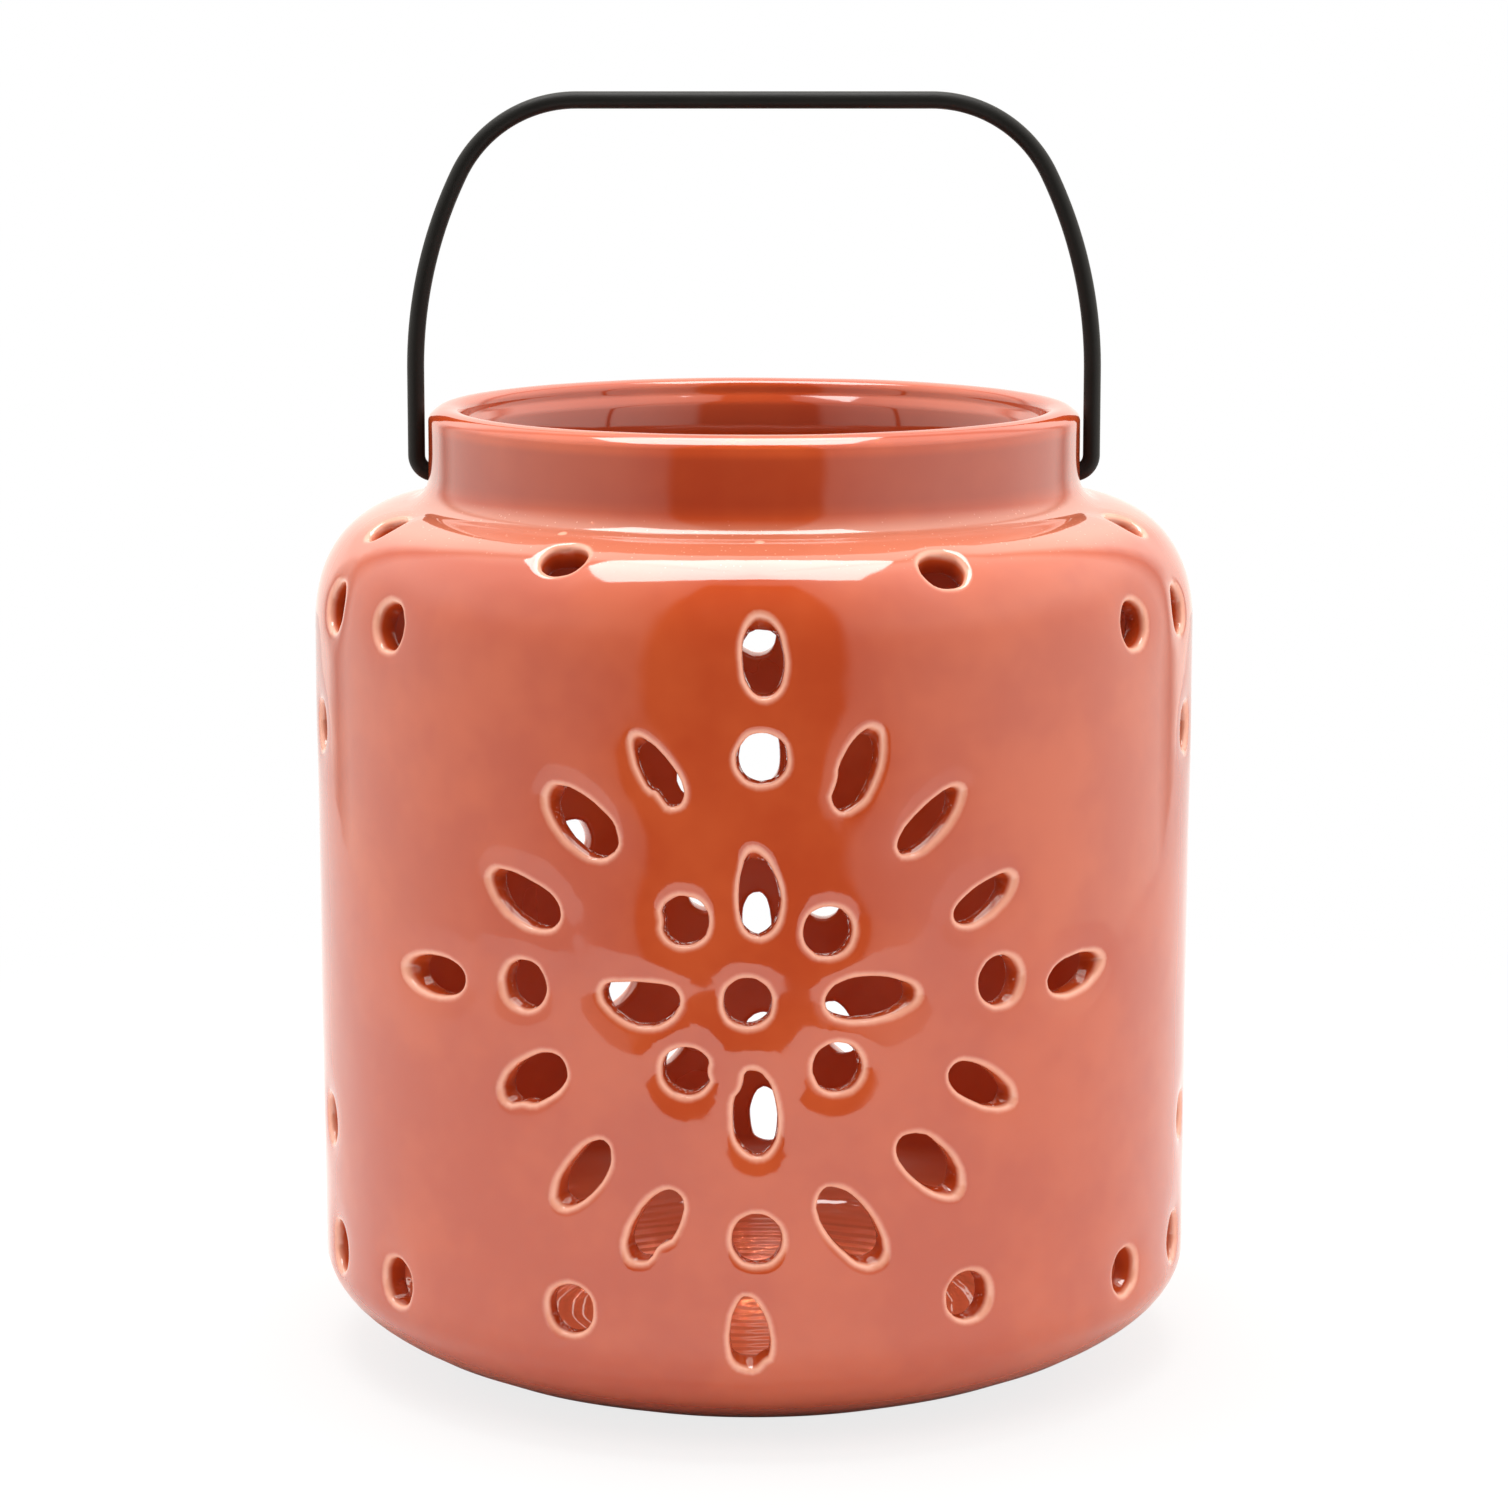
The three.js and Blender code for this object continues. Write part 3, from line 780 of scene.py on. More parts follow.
def sheet(rows, spacing, loops, every=1, clear=0.6):
    """A flat sheet with rows of points and holes in it: its points and triangles."""
    across = np.linspace(LEFT, RIGHT, COLUMNS + 1)
    grid = np.stack(np.meshgrid(across, np.array(rows) * MM, indexing="ij"), axis=-1)
    border = np.concatenate([grid[:, 0], grid[-1, 1:], grid[-2::-1, -1], grid[0, -2:0:-1]])
    middle = grid[every:-1:every, 1:-1].reshape(-1, 2)
    for loop in loops:
        centre = loop.mean(axis=0)
        size = np.linalg.norm(loop - centre, axis=1).max() + spacing
        close = np.linalg.norm(middle - centre, axis=1) < size
        nearby = middle[close]
        bad = inside_loop(nearby, loop) | (loop_distance(nearby, loop) < clear * spacing)
        keep = np.ones(len(middle), bool)
        keep[np.flatnonzero(close)[bad]] = False
        middle = middle[keep]
    edges = []
    count = 0
    for loop in (border, *loops):
        edges += [(count + i, count + (i + 1) % len(loop)) for i in range(len(loop))]
        count += len(loop)
    points = np.vstack([border, *loops, middle])
    made = delaunay_2d_cdt([Vector(point) for point in points], edges, [], 0, 1e-9, False)
    placed = np.array([tuple(point) for point in made[0]])
    faces = np.array([face for face in made[2]])
    centres = placed[faces].mean(axis=1)
    keep = np.ones(len(faces), bool)
    for loop in loops:
        close = np.abs(centres - loop.mean(axis=0)).max(axis=1) < HOLE_REACH
        keep[np.flatnonzero(close)[inside_loop(centres[close], loop)]] = False
    return placed, faces[keep]


def strip(places):
    """A plain band round the pot through places along the section: its points and four-sided faces."""
    across = np.linspace(LEFT, RIGHT, COLUMNS + 1)
    points = np.array([(x, y * MM) for y in places for x in across])
    wide = COLUMNS + 1
    faces = [
        (row * wide + i, row * wide + i + 1, (row + 1) * wide + i + 1, (row + 1) * wide + i)
        for row in range(len(places) - 1) for i in range(COLUMNS)
    ]
    return points, faces


print("the flat pot runs from", round(LEFT, 4), "to", round(RIGHT, 4), "m across, in", COLUMNS, "columns")

# %% Lay out the flat pot
OUTER_ROWS, INNER_ROWS, THROAT_ROWS, PLAIN_ROWS, SPACING = 2.0, 3.4, 3.0, 9.0, 0.2
SHEET_BELOW_RIM = 4.5
all_points, all_faces = [collar_points], list(collar_faces)
all_edges, all_depths = [collar_edge], [collar_depth]
total = count


def lay(points, faces, level=0.0, depth=0.0, flip=False):
    """Adds a sheet or strip to the flat pot at a level below the surface."""
    global total
    all_points.append(np.column_stack([points, np.full(len(points), level * MM)]))
    all_faces.extend(tuple(int(i) + total for i in (face[::-1] if flip else face)) for face in faces)
    all_edges.append(np.full(len(points), -1.0))
    all_depths.append(np.zeros(len(points)) + depth)
    total += len(points)


outer_loops = [collar_points[ring[:, -1], :2] for ring in rings]
inner_loops = [collar_points[ring[:, 0], :2] for ring in rings[:-2]]
upper_end = section_at(RIM - SHEET_BELOW_RIM)
outer_rows, inner_rows = rows_between(LOW, upper_end, OUTER_ROWS), rows_between(LOW, HIGH, INNER_ROWS)
lay(*sheet(outer_rows, (OUTER_ROWS + SPACING) * MM, outer_loops))
lay(*sheet(inner_rows, (INNER_ROWS + SPACING) * MM, inner_loops, every=2), level=-WALL, depth=1, flip=True)

# The throat's sheet lies along the section's own way down.
throat_loops = []
for ring in rings[-2:]:
    loop = collar_points[ring[:, 0], :2].copy()
    heights = np.interp(loop[:, 1] / MM, along_section, section[:, 1])
    loop[:, 1] = (NECK_END + throat_top - heights) * MM
    throat_loops.append(loop)
throat_rows = rows_between(NECK_END, THROAT_END, THROAT_ROWS)
lay(*sheet(throat_rows, THROAT_ROWS * MM, throat_loops, every=2), depth=1)
lay(*strip(rows_between(0, LOW, PLAIN_ROWS)))
lip_rows = rows_between(upper_end, NECK_END, THROAT_ROWS)
rim_place = along_section[np.argmax(section[:, 1])]
lip_depths = np.clip((np.array(lip_rows) - rim_place) / (NECK_END - rim_place), 0, 1)
lay(*strip(lip_rows), depth=np.repeat(lip_depths, COLUMNS + 1))
lay(*strip(rows_between(THROAT_END, CROWN_END, THROAT_ROWS)), depth=1)
lay(*strip(rows_between(FLOOR_START, SECTION_END, PLAIN_ROWS)), depth=1)
print("the flat pot has", total, "points and", len(all_faces), "faces")

# %% [markdown]
# ## Wrapping the sheet round the pot
#
# The flat pot is now a pattern like a paper template: sideways is the way round the pot, up is the way
# along the section, and depth is the way through the wall. One Geometry Nodes tree wraps it: it looks up
# the section at each point's height, and turns the point round the axis. On the way it presses a shallow
# dimple round each hole, as the cutter does in soft clay, and gives the wall the slight unevenness of hand
# work, which bends the reflections.

# %% Make the flat mesh and its guides
flat_mesh = bpy.data.meshes.new("flat_pot")
flat_mesh.from_pydata(np.vstack(all_points).tolist(), [], all_faces)
all_bores = [collar_bore, np.zeros(total - count)]
for name, values in (("edge", all_edges), ("depth", all_depths), ("bore", all_bores)):
    layer = flat_mesh.attributes.new(name, "FLOAT", "POINT")
    layer.data.foreach_set("value", np.concatenate(values).astype(np.float32))

section_line = line_object("pot_section", [(radius * MM, 0, height * MM) for radius, height in section])
OVERLAP = 20 * MM  # holes this near the seam show on both sides of it
outline_rings = [collar_points[ring[:, OUTLINE_POINT]] * (1, 1, 0) for ring in rings]
once_round = 2 * math.pi * RADIUS * MM
outline_rings += [ring - (once_round, 0, 0) for ring in outline_rings if ring[:, 0].max() > RIGHT - OVERLAP]
outline_rings += [ring + (once_round, 0, 0) for ring in outline_rings if ring[:, 0].min() < LEFT + OVERLAP]
outline_edges = [
    (n * POINTS_ROUND_A_HOLE + i, n * POINTS_ROUND_A_HOLE + (i + 1) % POINTS_ROUND_A_HOLE)
    for n in range(len(outline_rings)) for i in range(POINTS_ROUND_A_HOLE)
]
outline_mesh = bpy.data.meshes.new("hole_outlines")
outline_mesh.from_pydata(np.vstack(outline_rings).tolist(), outline_edges, [])
outline_object = add_object("hole_outlines", outline_mesh)
print("guides: a section of", len(section), "points and", len(outline_rings), "outlines")

# %% The tree that wraps the pot
HAND_SCALE, MERGE = 22.0, 0.01
wrap, given = new_tree("Wrap the pot", {
    "Section": "Object", "Hole outlines": "Object", "Radius": "Float", "Throat": "Float",
    "Dimple depth": "Float", "Dimple width": "Float", "Unevenness": "Float", "Merge distance": "Float",
    "Seed": "Int", "Material": "Material",
})
u, v, w = position(wrap)
holes_near = output(node(wrap, "GeometryNodeObjectInfo", {"Object": given["Hole outlines"]}), "Geometry")
proximity = node(wrap, "GeometryNodeProximity", {
    0: holes_near, "Sample Position": join(wrap, u, v),
}, target_element="EDGES")
outline_far = output(proximity, "Distance")
known = attribute(wrap, "edge").math("GREATER_THAN", -0.5)
edge = attribute(wrap, "edge") * known + outline_far * (known * -1 + 1)
depth, bore = attribute(wrap, "depth"), attribute(wrap, "bore")
hole_near = (outline_far / given["Dimple width"] * -1 + 1).math("MAXIMUM", 0)
pressed = hole_near ** 2 * given["Dimple depth"]

line = output(node(wrap, "GeometryNodeObjectInfo", {"Object": given["Section"]}), "Geometry")
sample = node(wrap, "GeometryNodeSampleCurve", {"Curves": line, "Length": v}, mode="LENGTH")
line_radius, _, line_height = split(wrap, output(sample, "Position"))
way_out, _, way_up = split(wrap, output(sample, "Tangent"))
angle = u / given["Radius"]
round_x, round_y = angle.math("SINE"), angle.math("COSINE") * -1
hand = node(wrap, "ShaderNodeTexNoise", {
    "Vector": join(wrap, round_x * line_radius, round_y * line_radius, line_height),
    "W": given["Seed"] * 1.0, "Scale": HAND_SCALE, "Detail": 1.0,
}, noise_dimensions="4D")
lift = ((hand - 0.5) * given["Unevenness"] - pressed) * (depth * -1 + 1) + w * (bore * -1 + 1)
radius = line_radius + lift * way_up
radius = radius + (given["Throat"] - line_radius) * depth * bore
turned = join(wrap, radius * round_x, radius * round_y, line_height - lift * way_out)
pot = carry(wrap, given["Geometry"], {"edge": edge})
pot = node(wrap, "GeometryNodeSetPosition", {"Geometry": pot, "Position": turned})
pot = node(wrap, "GeometryNodeMergeByDistance", {"Geometry": pot, "Distance": given["Merge distance"]})
pot = node(wrap, "GeometryNodeSetShadeSmooth", {"Geometry": pot})
close_tree(wrap, pot, given["Material"])

pot_mesh = run_tree(wrap, add_object("flat_pot", flat_mesh), {
    "Section": section_line, "Hole outlines": outline_object, "Radius": RADIUS * MM, "Throat": THROAT * MM,
    "Dimple depth": 0.45 * MM, "Dimple width": 6.5 * MM, "Unevenness": 0.55 * MM,
    "Merge distance": MERGE * MM, "Seed": SEED, "Material": glaze,
})
for guide in (section_line, outline_object, lip_line):
    bpy.data.objects.remove(guide)

# %% Check that the pot is closed, and put it in the frame
pot_mesh.name = "glazed_pot"
glazed_pot = add_object("glazed_pot", pot_mesh)
use = {}
for face in pot_mesh.polygons:
    for key in face.edge_keys:
        use[key] = use.get(key, 0) + 1
print("open or doubled edges:", sum(1 for times in use.values() if times != 2))
print("triangles:", sum(len(face.vertices) - 2 for face in pot_mesh.polygons))
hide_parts("ceramic_body")
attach(glazed_pot, "root")

# %% [markdown]
# ## The wire handle
#
# The handle is one black wire: two short pins in the neck's holes, tight elbows, upright legs, long side
# arcs, and a straight grip. A wire follows a path, so it is swept: the path is worked out from the bends'
# radii, and a Geometry Nodes tree sweeps a circle along it. Its ends are drawn in slightly, as a cropped
# and filed wire is.

# %% Work out the wire's path
WIRE, LEG_GAP, PIN_END, PIN_STEP, ELBOW, CROPPED = 3.9, 0.8, 61.9, 0.5, 4.1, 0.8
LEG_ABOVE_RIM, SIDE_ARC, SIDE_TURN, HAND_ROOM = 8.4, 101.0, math.radians(26), 67.3
leg_across = NECK + LEG_GAP + WIRE / 2
leg_top = RIM + LEG_ABOVE_RIM
grip = RIM + HAND_ROOM + WIRE / 2
arc_end = (leg_across - SIDE_ARC * (1 - math.cos(SIDE_TURN)), leg_top + SIDE_ARC * math.sin(SIDE_TURN))
corner = (grip - arc_end[1]) / (1 - math.sin(SIDE_TURN))
grip_half = arc_end[0] - corner * math.cos(SIDE_TURN)


def arc(centre, radius, start, stop, steps):
    """Points along an arc, in the handle's plane."""
    return [
        (centre[0] + radius * math.cos(angle), centre[1] + radius * math.sin(angle))
        for angle in np.linspace(start, stop, steps + 1)
    ]


half_path = [(PIN_END, PIVOT_HEIGHT), (PIN_END + PIN_STEP, PIVOT_HEIGHT)]
half_path += arc((leg_across - ELBOW, PIVOT_HEIGHT + ELBOW), ELBOW, -math.pi / 2, 0, 12)
half_path += arc((leg_across - SIDE_ARC, leg_top), SIDE_ARC, 0, SIDE_TURN, 28)
half_path += arc((grip_half, grip - corner), corner, SIDE_TURN, math.pi / 2, 30)[1:]
wire_path = half_path + [(-x, z) for x, z in reversed(half_path)]
wire_line = line_object("wire_path", [(x * MM, 0, z * MM) for x, z in wire_path])
for tip in (0, -1):
    wire_line.data.splines[0].points[tip].radius = CROPPED
print("the wire is", round(measured(np.array(wire_path))[-1]), "mm long")

# %% Sweep the wire
bend, given = new_tree("Sweep the wire", {"Wire": "Float", "Sides": "Int", "Material": "Material"})
ring = node(bend, "GeometryNodeCurvePrimitiveCircle", {
    "Resolution": given["Sides"], "Radius": given["Wire"] * 0.5,
})
path = node(bend, "GeometryNodeSetCurveNormal", {"Curve": given["Geometry"]}, mode="MINIMUM_TWIST")
thickness = node(bend, "GeometryNodeInputRadius", {})
rod = node(bend, "GeometryNodeCurveToMesh", {
    "Curve": path, "Profile Curve": ring, "Scale": thickness, "Fill Caps": True,
})
rod = node(bend, "GeometryNodeSetShadeSmooth", {"Geometry": rod})
wire_coat = bpy.data.materials.new("black_wire")
close_tree(bend, rod, given["Material"])
wire_mesh = run_tree(bend, wire_line, {"Wire": WIRE * MM, "Sides": 24, "Material": wire_coat})
wire_mesh.name = "wire_handle"
wire_handle = add_object("wire_handle", wire_mesh)
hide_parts("bail_handle")
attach(wire_handle, "bail")

# %% [markdown]
# ## The glaze
#
# Coral glaze is a layer of glass, coloured unevenly by how thick it lies. It runs off every edge, so each
# hole has a pale rim where the clay shows through. It lies thick and dark on the neck. A paler belt with tiny
# bubbles is painted at the neck's foot as a painted reflection, the walls of the holes near the shoulder get
# painted shade, and the floor inside is painted lighter as painted light, over the rings that the potter's
# fingers left. Two pinholes stay bare. The pattern has to follow the holes, so it reads the distance to the
# nearest hole that the wrapping tree stored on the mesh, and how deep in the wall a point lies. One glossy
# coat covers it all, a little drier inside.

# %% Helpers for finishes
def material_tree(material):
    """Clears a material's tree, and gives the tree and its Principled shader."""
    material.use_nodes = True
    tree = material.node_tree
    tree.nodes.clear()
    shader = tree.nodes.new("ShaderNodeBsdfPrincipled")
    end = tree.nodes.new("ShaderNodeOutputMaterial")
    tree.links.new(shader.outputs[0], end.inputs[0])
    return tree, shader


def mix(tree, share, first, second):
    """A colour between two others."""
    made = tree.nodes.new("ShaderNodeMix")
    made.data_type = "RGBA"
    for index, value in ((0, share), (6, first), (7, second)):
        feed(tree, made.inputs[index], value)
    return Field(tree, made.outputs[2])


def between(tree, value, low, high):
    """0 below low, 1 above high, and smooth between them."""
    return node(tree, "ShaderNodeMapRange", {
        "Value": value, "From Min": low, "From Max": high, "To Min": 0.0, "To Max": 1.0,
    }, interpolation_type="SMOOTHSTEP")


def below(tree, value, low, high):
    """1 below low, 0 above high, and smooth between them."""
    return between(tree, value, low, high) * -1 + 1


def belt(tree, value, start, full, still_full, end):
    """1 from full to still_full, fading to 0 at start and end."""
    return between(tree, value, start, full) * below(tree, value, still_full, end)


def clouds(tree, place, scale, detail, roughness=0.5):
    """Soft random patches."""
    sockets = {"Vector": place, "Scale": scale, "Detail": detail, "Roughness": roughness}
    return node(tree, "ShaderNodeTexNoise", sockets)


def bumps(tree, height, strength, distance, under=None):
    """A bent normal for a height, on top of other bumps where there are some."""
    sockets = {"Height": height, "Strength": strength, "Distance": distance}
    return node(tree, "ShaderNodeBump", sockets | ({"Normal": under} if under else {}))


print("finish helpers ready")

# %% Sizes of the glaze, in metres
CORAL = (0.530, 0.070, 0.015, 1)
DEEP_CORAL = (0.460, 0.050, 0.009, 1)
LIGHT_CORAL = (0.590, 0.095, 0.023, 1)
BARE_EDGE = (0.96, 0.47, 0.33, 1)
# dark glaze on the neck, and the colour of painted shade in the holes' walls near the shoulder
THICK_GLAZE_AND_PAINTED_SHADE = (0.300, 0.030, 0.007, 1)
# the colour of the painted reflection at the neck's foot
PAINTED_REFLECTION_COLOUR = (0.600, 0.200, 0.120, 1)
# the floor inside, painted lighter: painted light
PAINTED_LIGHT_FLOOR = (0.800, 0.180, 0.080, 1)
NECK_BELT = (0.200, 0.2045, 0.2130, 0.2150)  # heights: start, full, still full, end
# heights of the pale belt at the neck's foot, a painted reflection: start, full, still full, end
PAINTED_REFLECTION_BELT = (0.1905, 0.1950, 0.1985, 0.2010)
# TUNNEL_SHADE_FROM: the height above which the walls of the holes get painted shade
FLOOR_TOP, TUNNEL_SHADE_FROM, INNER_NECK = (0.010, 0.026), (0.165, 0.185), (0.190, 0.200)
EDGE_FADE, EDGE_SPREAD, EDGE_RAGGED, EDGE_DEPTH = (0.0001, 0.0018), 1.2, 0.0005, (0.08, 0.38)
THICK_SHARE, PAINTED_REFLECTION_SHARE, TUNNEL_SHADE_SHARE, EDGE_SHARE, CORAL_SHARE = 0.45, 0.7, 0.7, 0.9, 0.45
BUBBLE_SCALE, BUBBLE_FADE, BUBBLE_SHARE = 620.0, (0.08, 0.16), 0.55
RING_SPACING, RING_WANDER = 0.0054, 0.004
PINHOLES, PINHOLE_FADE = [(-0.041, 0.0785), (0.0012, 0.0797)], (0.0007, 0.0013)  # (across, from the axis)
GLOSS, GLOSS_SPREAD, DRY = 0.02, 0.08, 0.2
RIPPLE_STRENGTH, RIPPLE_HEIGHT = 0.25, 0.0003
print("thick glaze from", NECK_BELT[0], "to", NECK_BELT[3], "m up")

# %% Colour the glaze
tree, shader = material_tree(glaze)
place = output(node(tree, "ShaderNodeTexCoord", {}), "Object")
edge, depth = [
    output(node(tree, "ShaderNodeAttribute", {}, attribute_name=name), "Fac") for name in ("edge", "depth")
]
x, y, height = split(tree, place)
from_axis = (x ** 2 + y ** 2) ** 0.5
cloud = clouds(tree, place, 34.0, 3.0, 0.55)
colour = mix(tree, between(tree, cloud, 0.35, 0.68), DEEP_CORAL, LIGHT_CORAL)
colour = mix(tree, CORAL_SHARE, colour, CORAL)
outside = below(tree, depth, 0.05, 0.20)
colour = mix(tree, belt(tree, height, *NECK_BELT) * outside * THICK_SHARE, colour, THICK_GLAZE_AND_PAINTED_SHADE)
# A pale belt at the neck's foot is a painted reflection, mixed into the colour.
painted_reflection_mask = belt(tree, height, *PAINTED_REFLECTION_BELT) * outside
colour = mix(tree, painted_reflection_mask * PAINTED_REFLECTION_SHARE, colour, PAINTED_REFLECTION_COLOUR)
# The floor inside is painted lighter, as painted light where the mouth lamp falls.
on_floor = below(tree, height, *FLOOR_TOP) * between(tree, depth, 0.8, 0.95)
colour = mix(tree, on_floor, colour, PAINTED_LIGHT_FLOOR)
# The walls of the holes near the shoulder get painted shade, mixed towards the dark glaze colour.
painted_tunnel_shade = between(tree, depth, 0.25, 0.75) * between(tree, height, *TUNNEL_SHADE_FROM)
colour = mix(tree, painted_tunnel_shade * TUNNEL_SHADE_SHARE, colour, THICK_GLAZE_AND_PAINTED_SHADE)
print("colour nodes:", len(tree.nodes))

# %% Bare the edges and finish the glaze
reach = edge + (clouds(tree, place, 260.0, 2.0) - 0.5) * EDGE_RAGGED
pale = below(tree, reach, *EDGE_FADE) ** EDGE_SPREAD * below(tree, depth, *EDGE_DEPTH)
bubbles = node(tree, "ShaderNodeTexVoronoi", {"Vector": place, "Scale": BUBBLE_SCALE})
# Tiny pale bubbles, only inside the painted-reflection belt.
pale = pale.math("MAXIMUM", below(tree, bubbles, *BUBBLE_FADE) * painted_reflection_mask * BUBBLE_SHARE)
for across, radius in PINHOLES:
    up = float(np.interp(radius / MM, shoulder[::-1, 0], shoulder[::-1, 1])) * MM
    pinhole = (across, -math.sqrt(radius**2 - across**2), up)
    far = node(tree, "ShaderNodeVectorMath", {0: place, 1: pinhole}, operation="DISTANCE")
    pale = pale.math("MAXIMUM", below(tree, output(far, "Value"), *PINHOLE_FADE))

dry_inside = between(tree, depth, 0.6, 0.9) * (on_floor * -1 + 1) * below(tree, height, *INNER_NECK)
ripple = bumps(tree, clouds(tree, place, 95.0, 1.0), RIPPLE_STRENGTH, RIPPLE_HEIGHT)
throwing_rings = ((from_axis + cloud * RING_WANDER) * (2 * math.pi / RING_SPACING)).math("SINE") * on_floor
feed_all(tree, shader, {
    "Base Color": mix(tree, pale * EDGE_SHARE, colour, BARE_EDGE),
    "Roughness": clouds(tree, place, 60.0, 2.0) * GLOSS_SPREAD + GLOSS + dry_inside * DRY,
    "IOR": 1.8,
    "Normal": bumps(tree, throwing_rings, 1.0, RIPPLE_HEIGHT, ripple),
})
print("glaze nodes:", len(tree.nodes))

# %% [markdown]
# ## The wire's coat
#
# The steel wire is powder coated: nearly black, with a dull sheen and a very fine orange-peel surface. Real
# metal shading would look too bright, because the coat hides the steel, so this is a plain dark shader with
# a fine bump.

# %% Mix the wire's coat
BLACK, WORN_BLACK = (0.006, 0.006, 0.005, 1), (0.012, 0.011, 0.010, 1)
tree, shader = material_tree(wire_coat)
place = output(node(tree, "ShaderNodeTexCoord", {}), "Object")
patches = clouds(tree, place, 90.0, 2.0)
feed_all(tree, shader, {
    "Base Color": mix(tree, patches, BLACK, WORN_BLACK),
    "Roughness": patches * 0.12 + 0.42,
    "Specular IOR Level": 0.25,
    "Normal": bumps(tree, clouds(tree, place, 1400.0, 2.0), 0.35, 0.00008),
})
print("wire nodes:", len(tree.nodes))

# %% [markdown]
# ## The studio
#
# A glossy pot shows the room that it stands in. In the photograph pale walls reach from both sides to the
# back, with a darker line in each, a broad soft light hangs overhead, and the room behind the camera is
# dark, which leaves a deep orange band down the pot's middle. The pale table ends about half a metre in
# front. The world here has those walls and that gap, and what the camera sees behind the lantern is plain
# white. A soft light fills the front, and a small one shines down into the mouth, because the floor inside
# is lit in the photograph.

# %% Lay the table
TABLE_HALF_WIDTH, TABLE_FRONT, TABLE_BACK = 0.56, -0.47, 1.3
PAPER_WHITE = 0.82
SHADOW_LIFT, SHADOW_FADE = 0.80, (0.16, 0.50)
MIRRORED, MIRRORED_FADE = 0.3, (0.11, 0.24)
table_mesh = bpy.data.meshes.new("table")
left, right = -TABLE_HALF_WIDTH, TABLE_HALF_WIDTH
table_mesh.from_pydata([
    (left, TABLE_FRONT, 0), (right, TABLE_FRONT, 0), (right, TABLE_BACK, 0), (left, TABLE_BACK, 0),
], [], [(0, 1, 2, 3)])
table = add_object("table", table_mesh)
paper = bpy.data.materials.new("white_paper")
table_mesh.materials.append(paper)
tree, shader = material_tree(paper)
feed_all(tree, shader, {
    "Base Color": (PAPER_WHITE, PAPER_WHITE, PAPER_WHITE, 1), "Roughness": 1.0, "Specular IOR Level": 0.0,
})
place = output(node(tree, "ShaderNodeTexCoord", {}), "Object")
far = output(node(tree, "ShaderNodeVectorMath", {0: place}, operation="LENGTH"), "Value")
rays = node(tree, "ShaderNodeLightPath", {})
lifted = between(tree, far, *SHADOW_FADE) * (1 - SHADOW_LIFT) + SHADOW_LIFT
seen_direct = lifted * output(rays, "Is Camera Ray")
seen_mirrored = between(tree, far, *MIRRORED_FADE) * MIRRORED * output(rays, "Is Glossy Ray")
sheet_end = node(tree, "ShaderNodeMixShader", {
    0: seen_direct.math("MAXIMUM", seen_mirrored), 1: Field(tree, shader.outputs[0]),
    2: node(tree, "ShaderNodeEmission", {"Color": (1, 1, 1, 1), "Strength": 1.0}),
})
feed(tree, tree.nodes["Material Output"].inputs[0], sheet_end)
print("table", 2 * TABLE_HALF_WIDTH, "m wide")

# %% Paint the room
DARK, GAP_LEFT, GAP_RIGHT, GAP_TOP, GAP_SOFT = 0.10, -28.5, 24.0, 74.0, 2.5
ROOM = [  # (degrees round the room from the front, brightness)
    (-180, 1.1), (-148, 1.5), (-140, 0.6), (-132, 1.3), (-100, 1.3), (-70, 1.0), (-45, 0.75), (-28, 0.45),
    (24, 0.6), (45, 1.0), (70, 1.3), (110, 1.5), (132, 1.4), (140, 0.6), (148, 1.5), (180, 1.1),
]
BRIGHTEST = 2.0
HIGH_WALL, HIGH_WALL_FROM, HIGH_WALL_FULL = 0.35, 12, 32  # how much brighter reflections are up there
WALL_TINT = (1.0, 0.965, 0.90, 1)

world = bpy.data.worlds.new("studio")
bpy.context.scene.world = world
world.use_nodes = True
tree = world.node_tree
tree.nodes.clear()
across, backward, up = split(tree, output(node(tree, "ShaderNodeTexCoord", {}), "Generated"))
azimuth = across.math("ARCTAN2", backward * -1)
elevation = up.math("ARCSINE")
ramp = tree.nodes.new("ShaderNodeValToRGB")
feed(tree, ramp.inputs[0], azimuth / (2 * math.pi) + 0.5)
for index, (degrees, brightness) in enumerate(ROOM):
    place = degrees / 360 + 0.5
    stops = ramp.color_ramp.elements
    stop = stops[index] if index < 1 else stops[-1] if index == len(ROOM) - 1 else stops.new(place)
    stop.position = place
    stop.color = (*[brightness / BRIGHTEST] * 3, 1)


def past(angle, degrees):
    """0 before an angle in the room, and 1 past it."""
    return between(tree, angle, math.radians(degrees - GAP_SOFT), math.radians(degrees + GAP_SOFT))


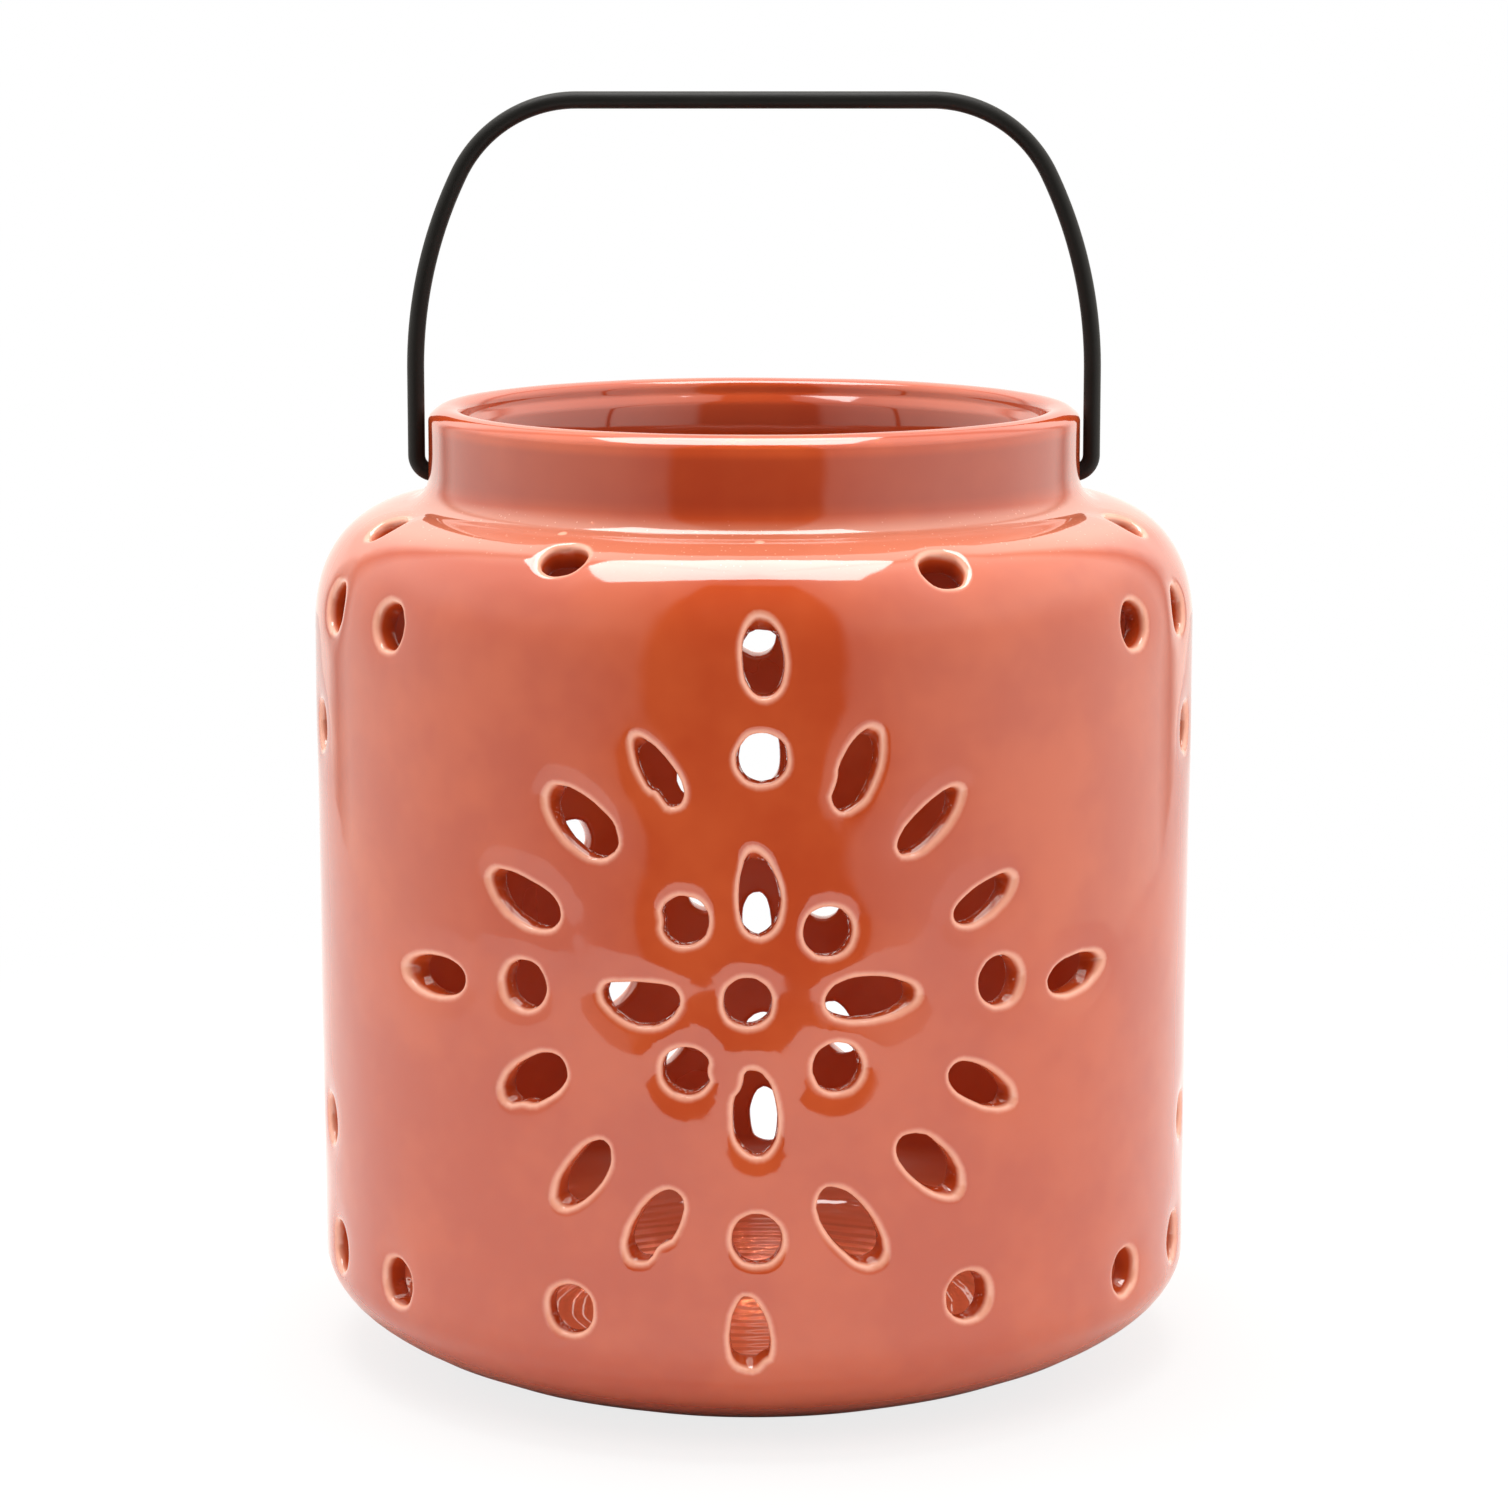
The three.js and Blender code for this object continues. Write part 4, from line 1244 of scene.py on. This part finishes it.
rays = node(tree, "ShaderNodeLightPath", {})
high = between(tree, elevation, math.radians(HIGH_WALL_FROM), math.radians(HIGH_WALL_FULL)) * HIGH_WALL
walls = Field(tree, ramp.outputs[0]) * BRIGHTEST * (high * output(rays, "Is Glossy Ray") + 1)
gap = past(azimuth, GAP_LEFT) * (past(azimuth, GAP_RIGHT) * -1 + 1) * (past(elevation, GAP_TOP) * -1 + 1)
strength = gap * (walls * -1 + DARK) + walls
both = node(tree, "ShaderNodeMixShader", {
    0: output(rays, "Is Camera Ray"),
    1: node(tree, "ShaderNodeBackground", {"Color": WALL_TINT, "Strength": strength}),
    2: node(tree, "ShaderNodeBackground", {"Color": (1, 1, 1, 1), "Strength": 1.0}),
})
feed(tree, tree.nodes.new("ShaderNodeOutputWorld").inputs["Surface"], both)
print("dark gap", GAP_LEFT, "to", GAP_RIGHT, "degrees")

# %% Hang the lights
FRONT_FILL_AT, FRONT_FILL_TILT = (0, -1.1, 1.5), 38
MOUTH_LAMP_AT, MOUTH_LAMP_AIM, MOUTH_LAMP_SPREAD = (0, -0.30, 1.2), (0, 0.02, 0.007), 3


def panel(name, width, length, place, brightness, tilt=0.0):
    """A rectangle of light that faces down, tilted towards the back by some degrees."""
    data = bpy.data.lights.new(name, "AREA")
    data.shape = "RECTANGLE"
    data.size, data.size_y = width, length
    data.energy = brightness * math.pi * data.size * data.size_y
    lamp = add_object(name, data)
    lamp.location = place
    lamp.rotation_euler = (math.radians(tilt), 0, 0)
    lamp.visible_camera = False
    print(name, round(data.energy, 2), "W")
    return lamp


panel("overhead_panel", 0.84, 0.57, (-0.08, 0.055, 1.2), 6.2)
panel("front_fill", 0.90, 0.90, FRONT_FILL_AT, 4.0, FRONT_FILL_TILT).visible_glossy = False
aim = math.atan2(MOUTH_LAMP_AIM[1] - MOUTH_LAMP_AT[1], MOUTH_LAMP_AT[2] - MOUTH_LAMP_AIM[2])
mouth_lamp = panel("mouth_lamp", 0.04, 0.04, MOUTH_LAMP_AT, 5.0, math.degrees(aim))
mouth_lamp.data.spread = math.radians(MOUTH_LAMP_SPREAD)
mouth_lamp.visible_glossy = False
bpy.context.scene.view_settings.view_transform = "Standard"
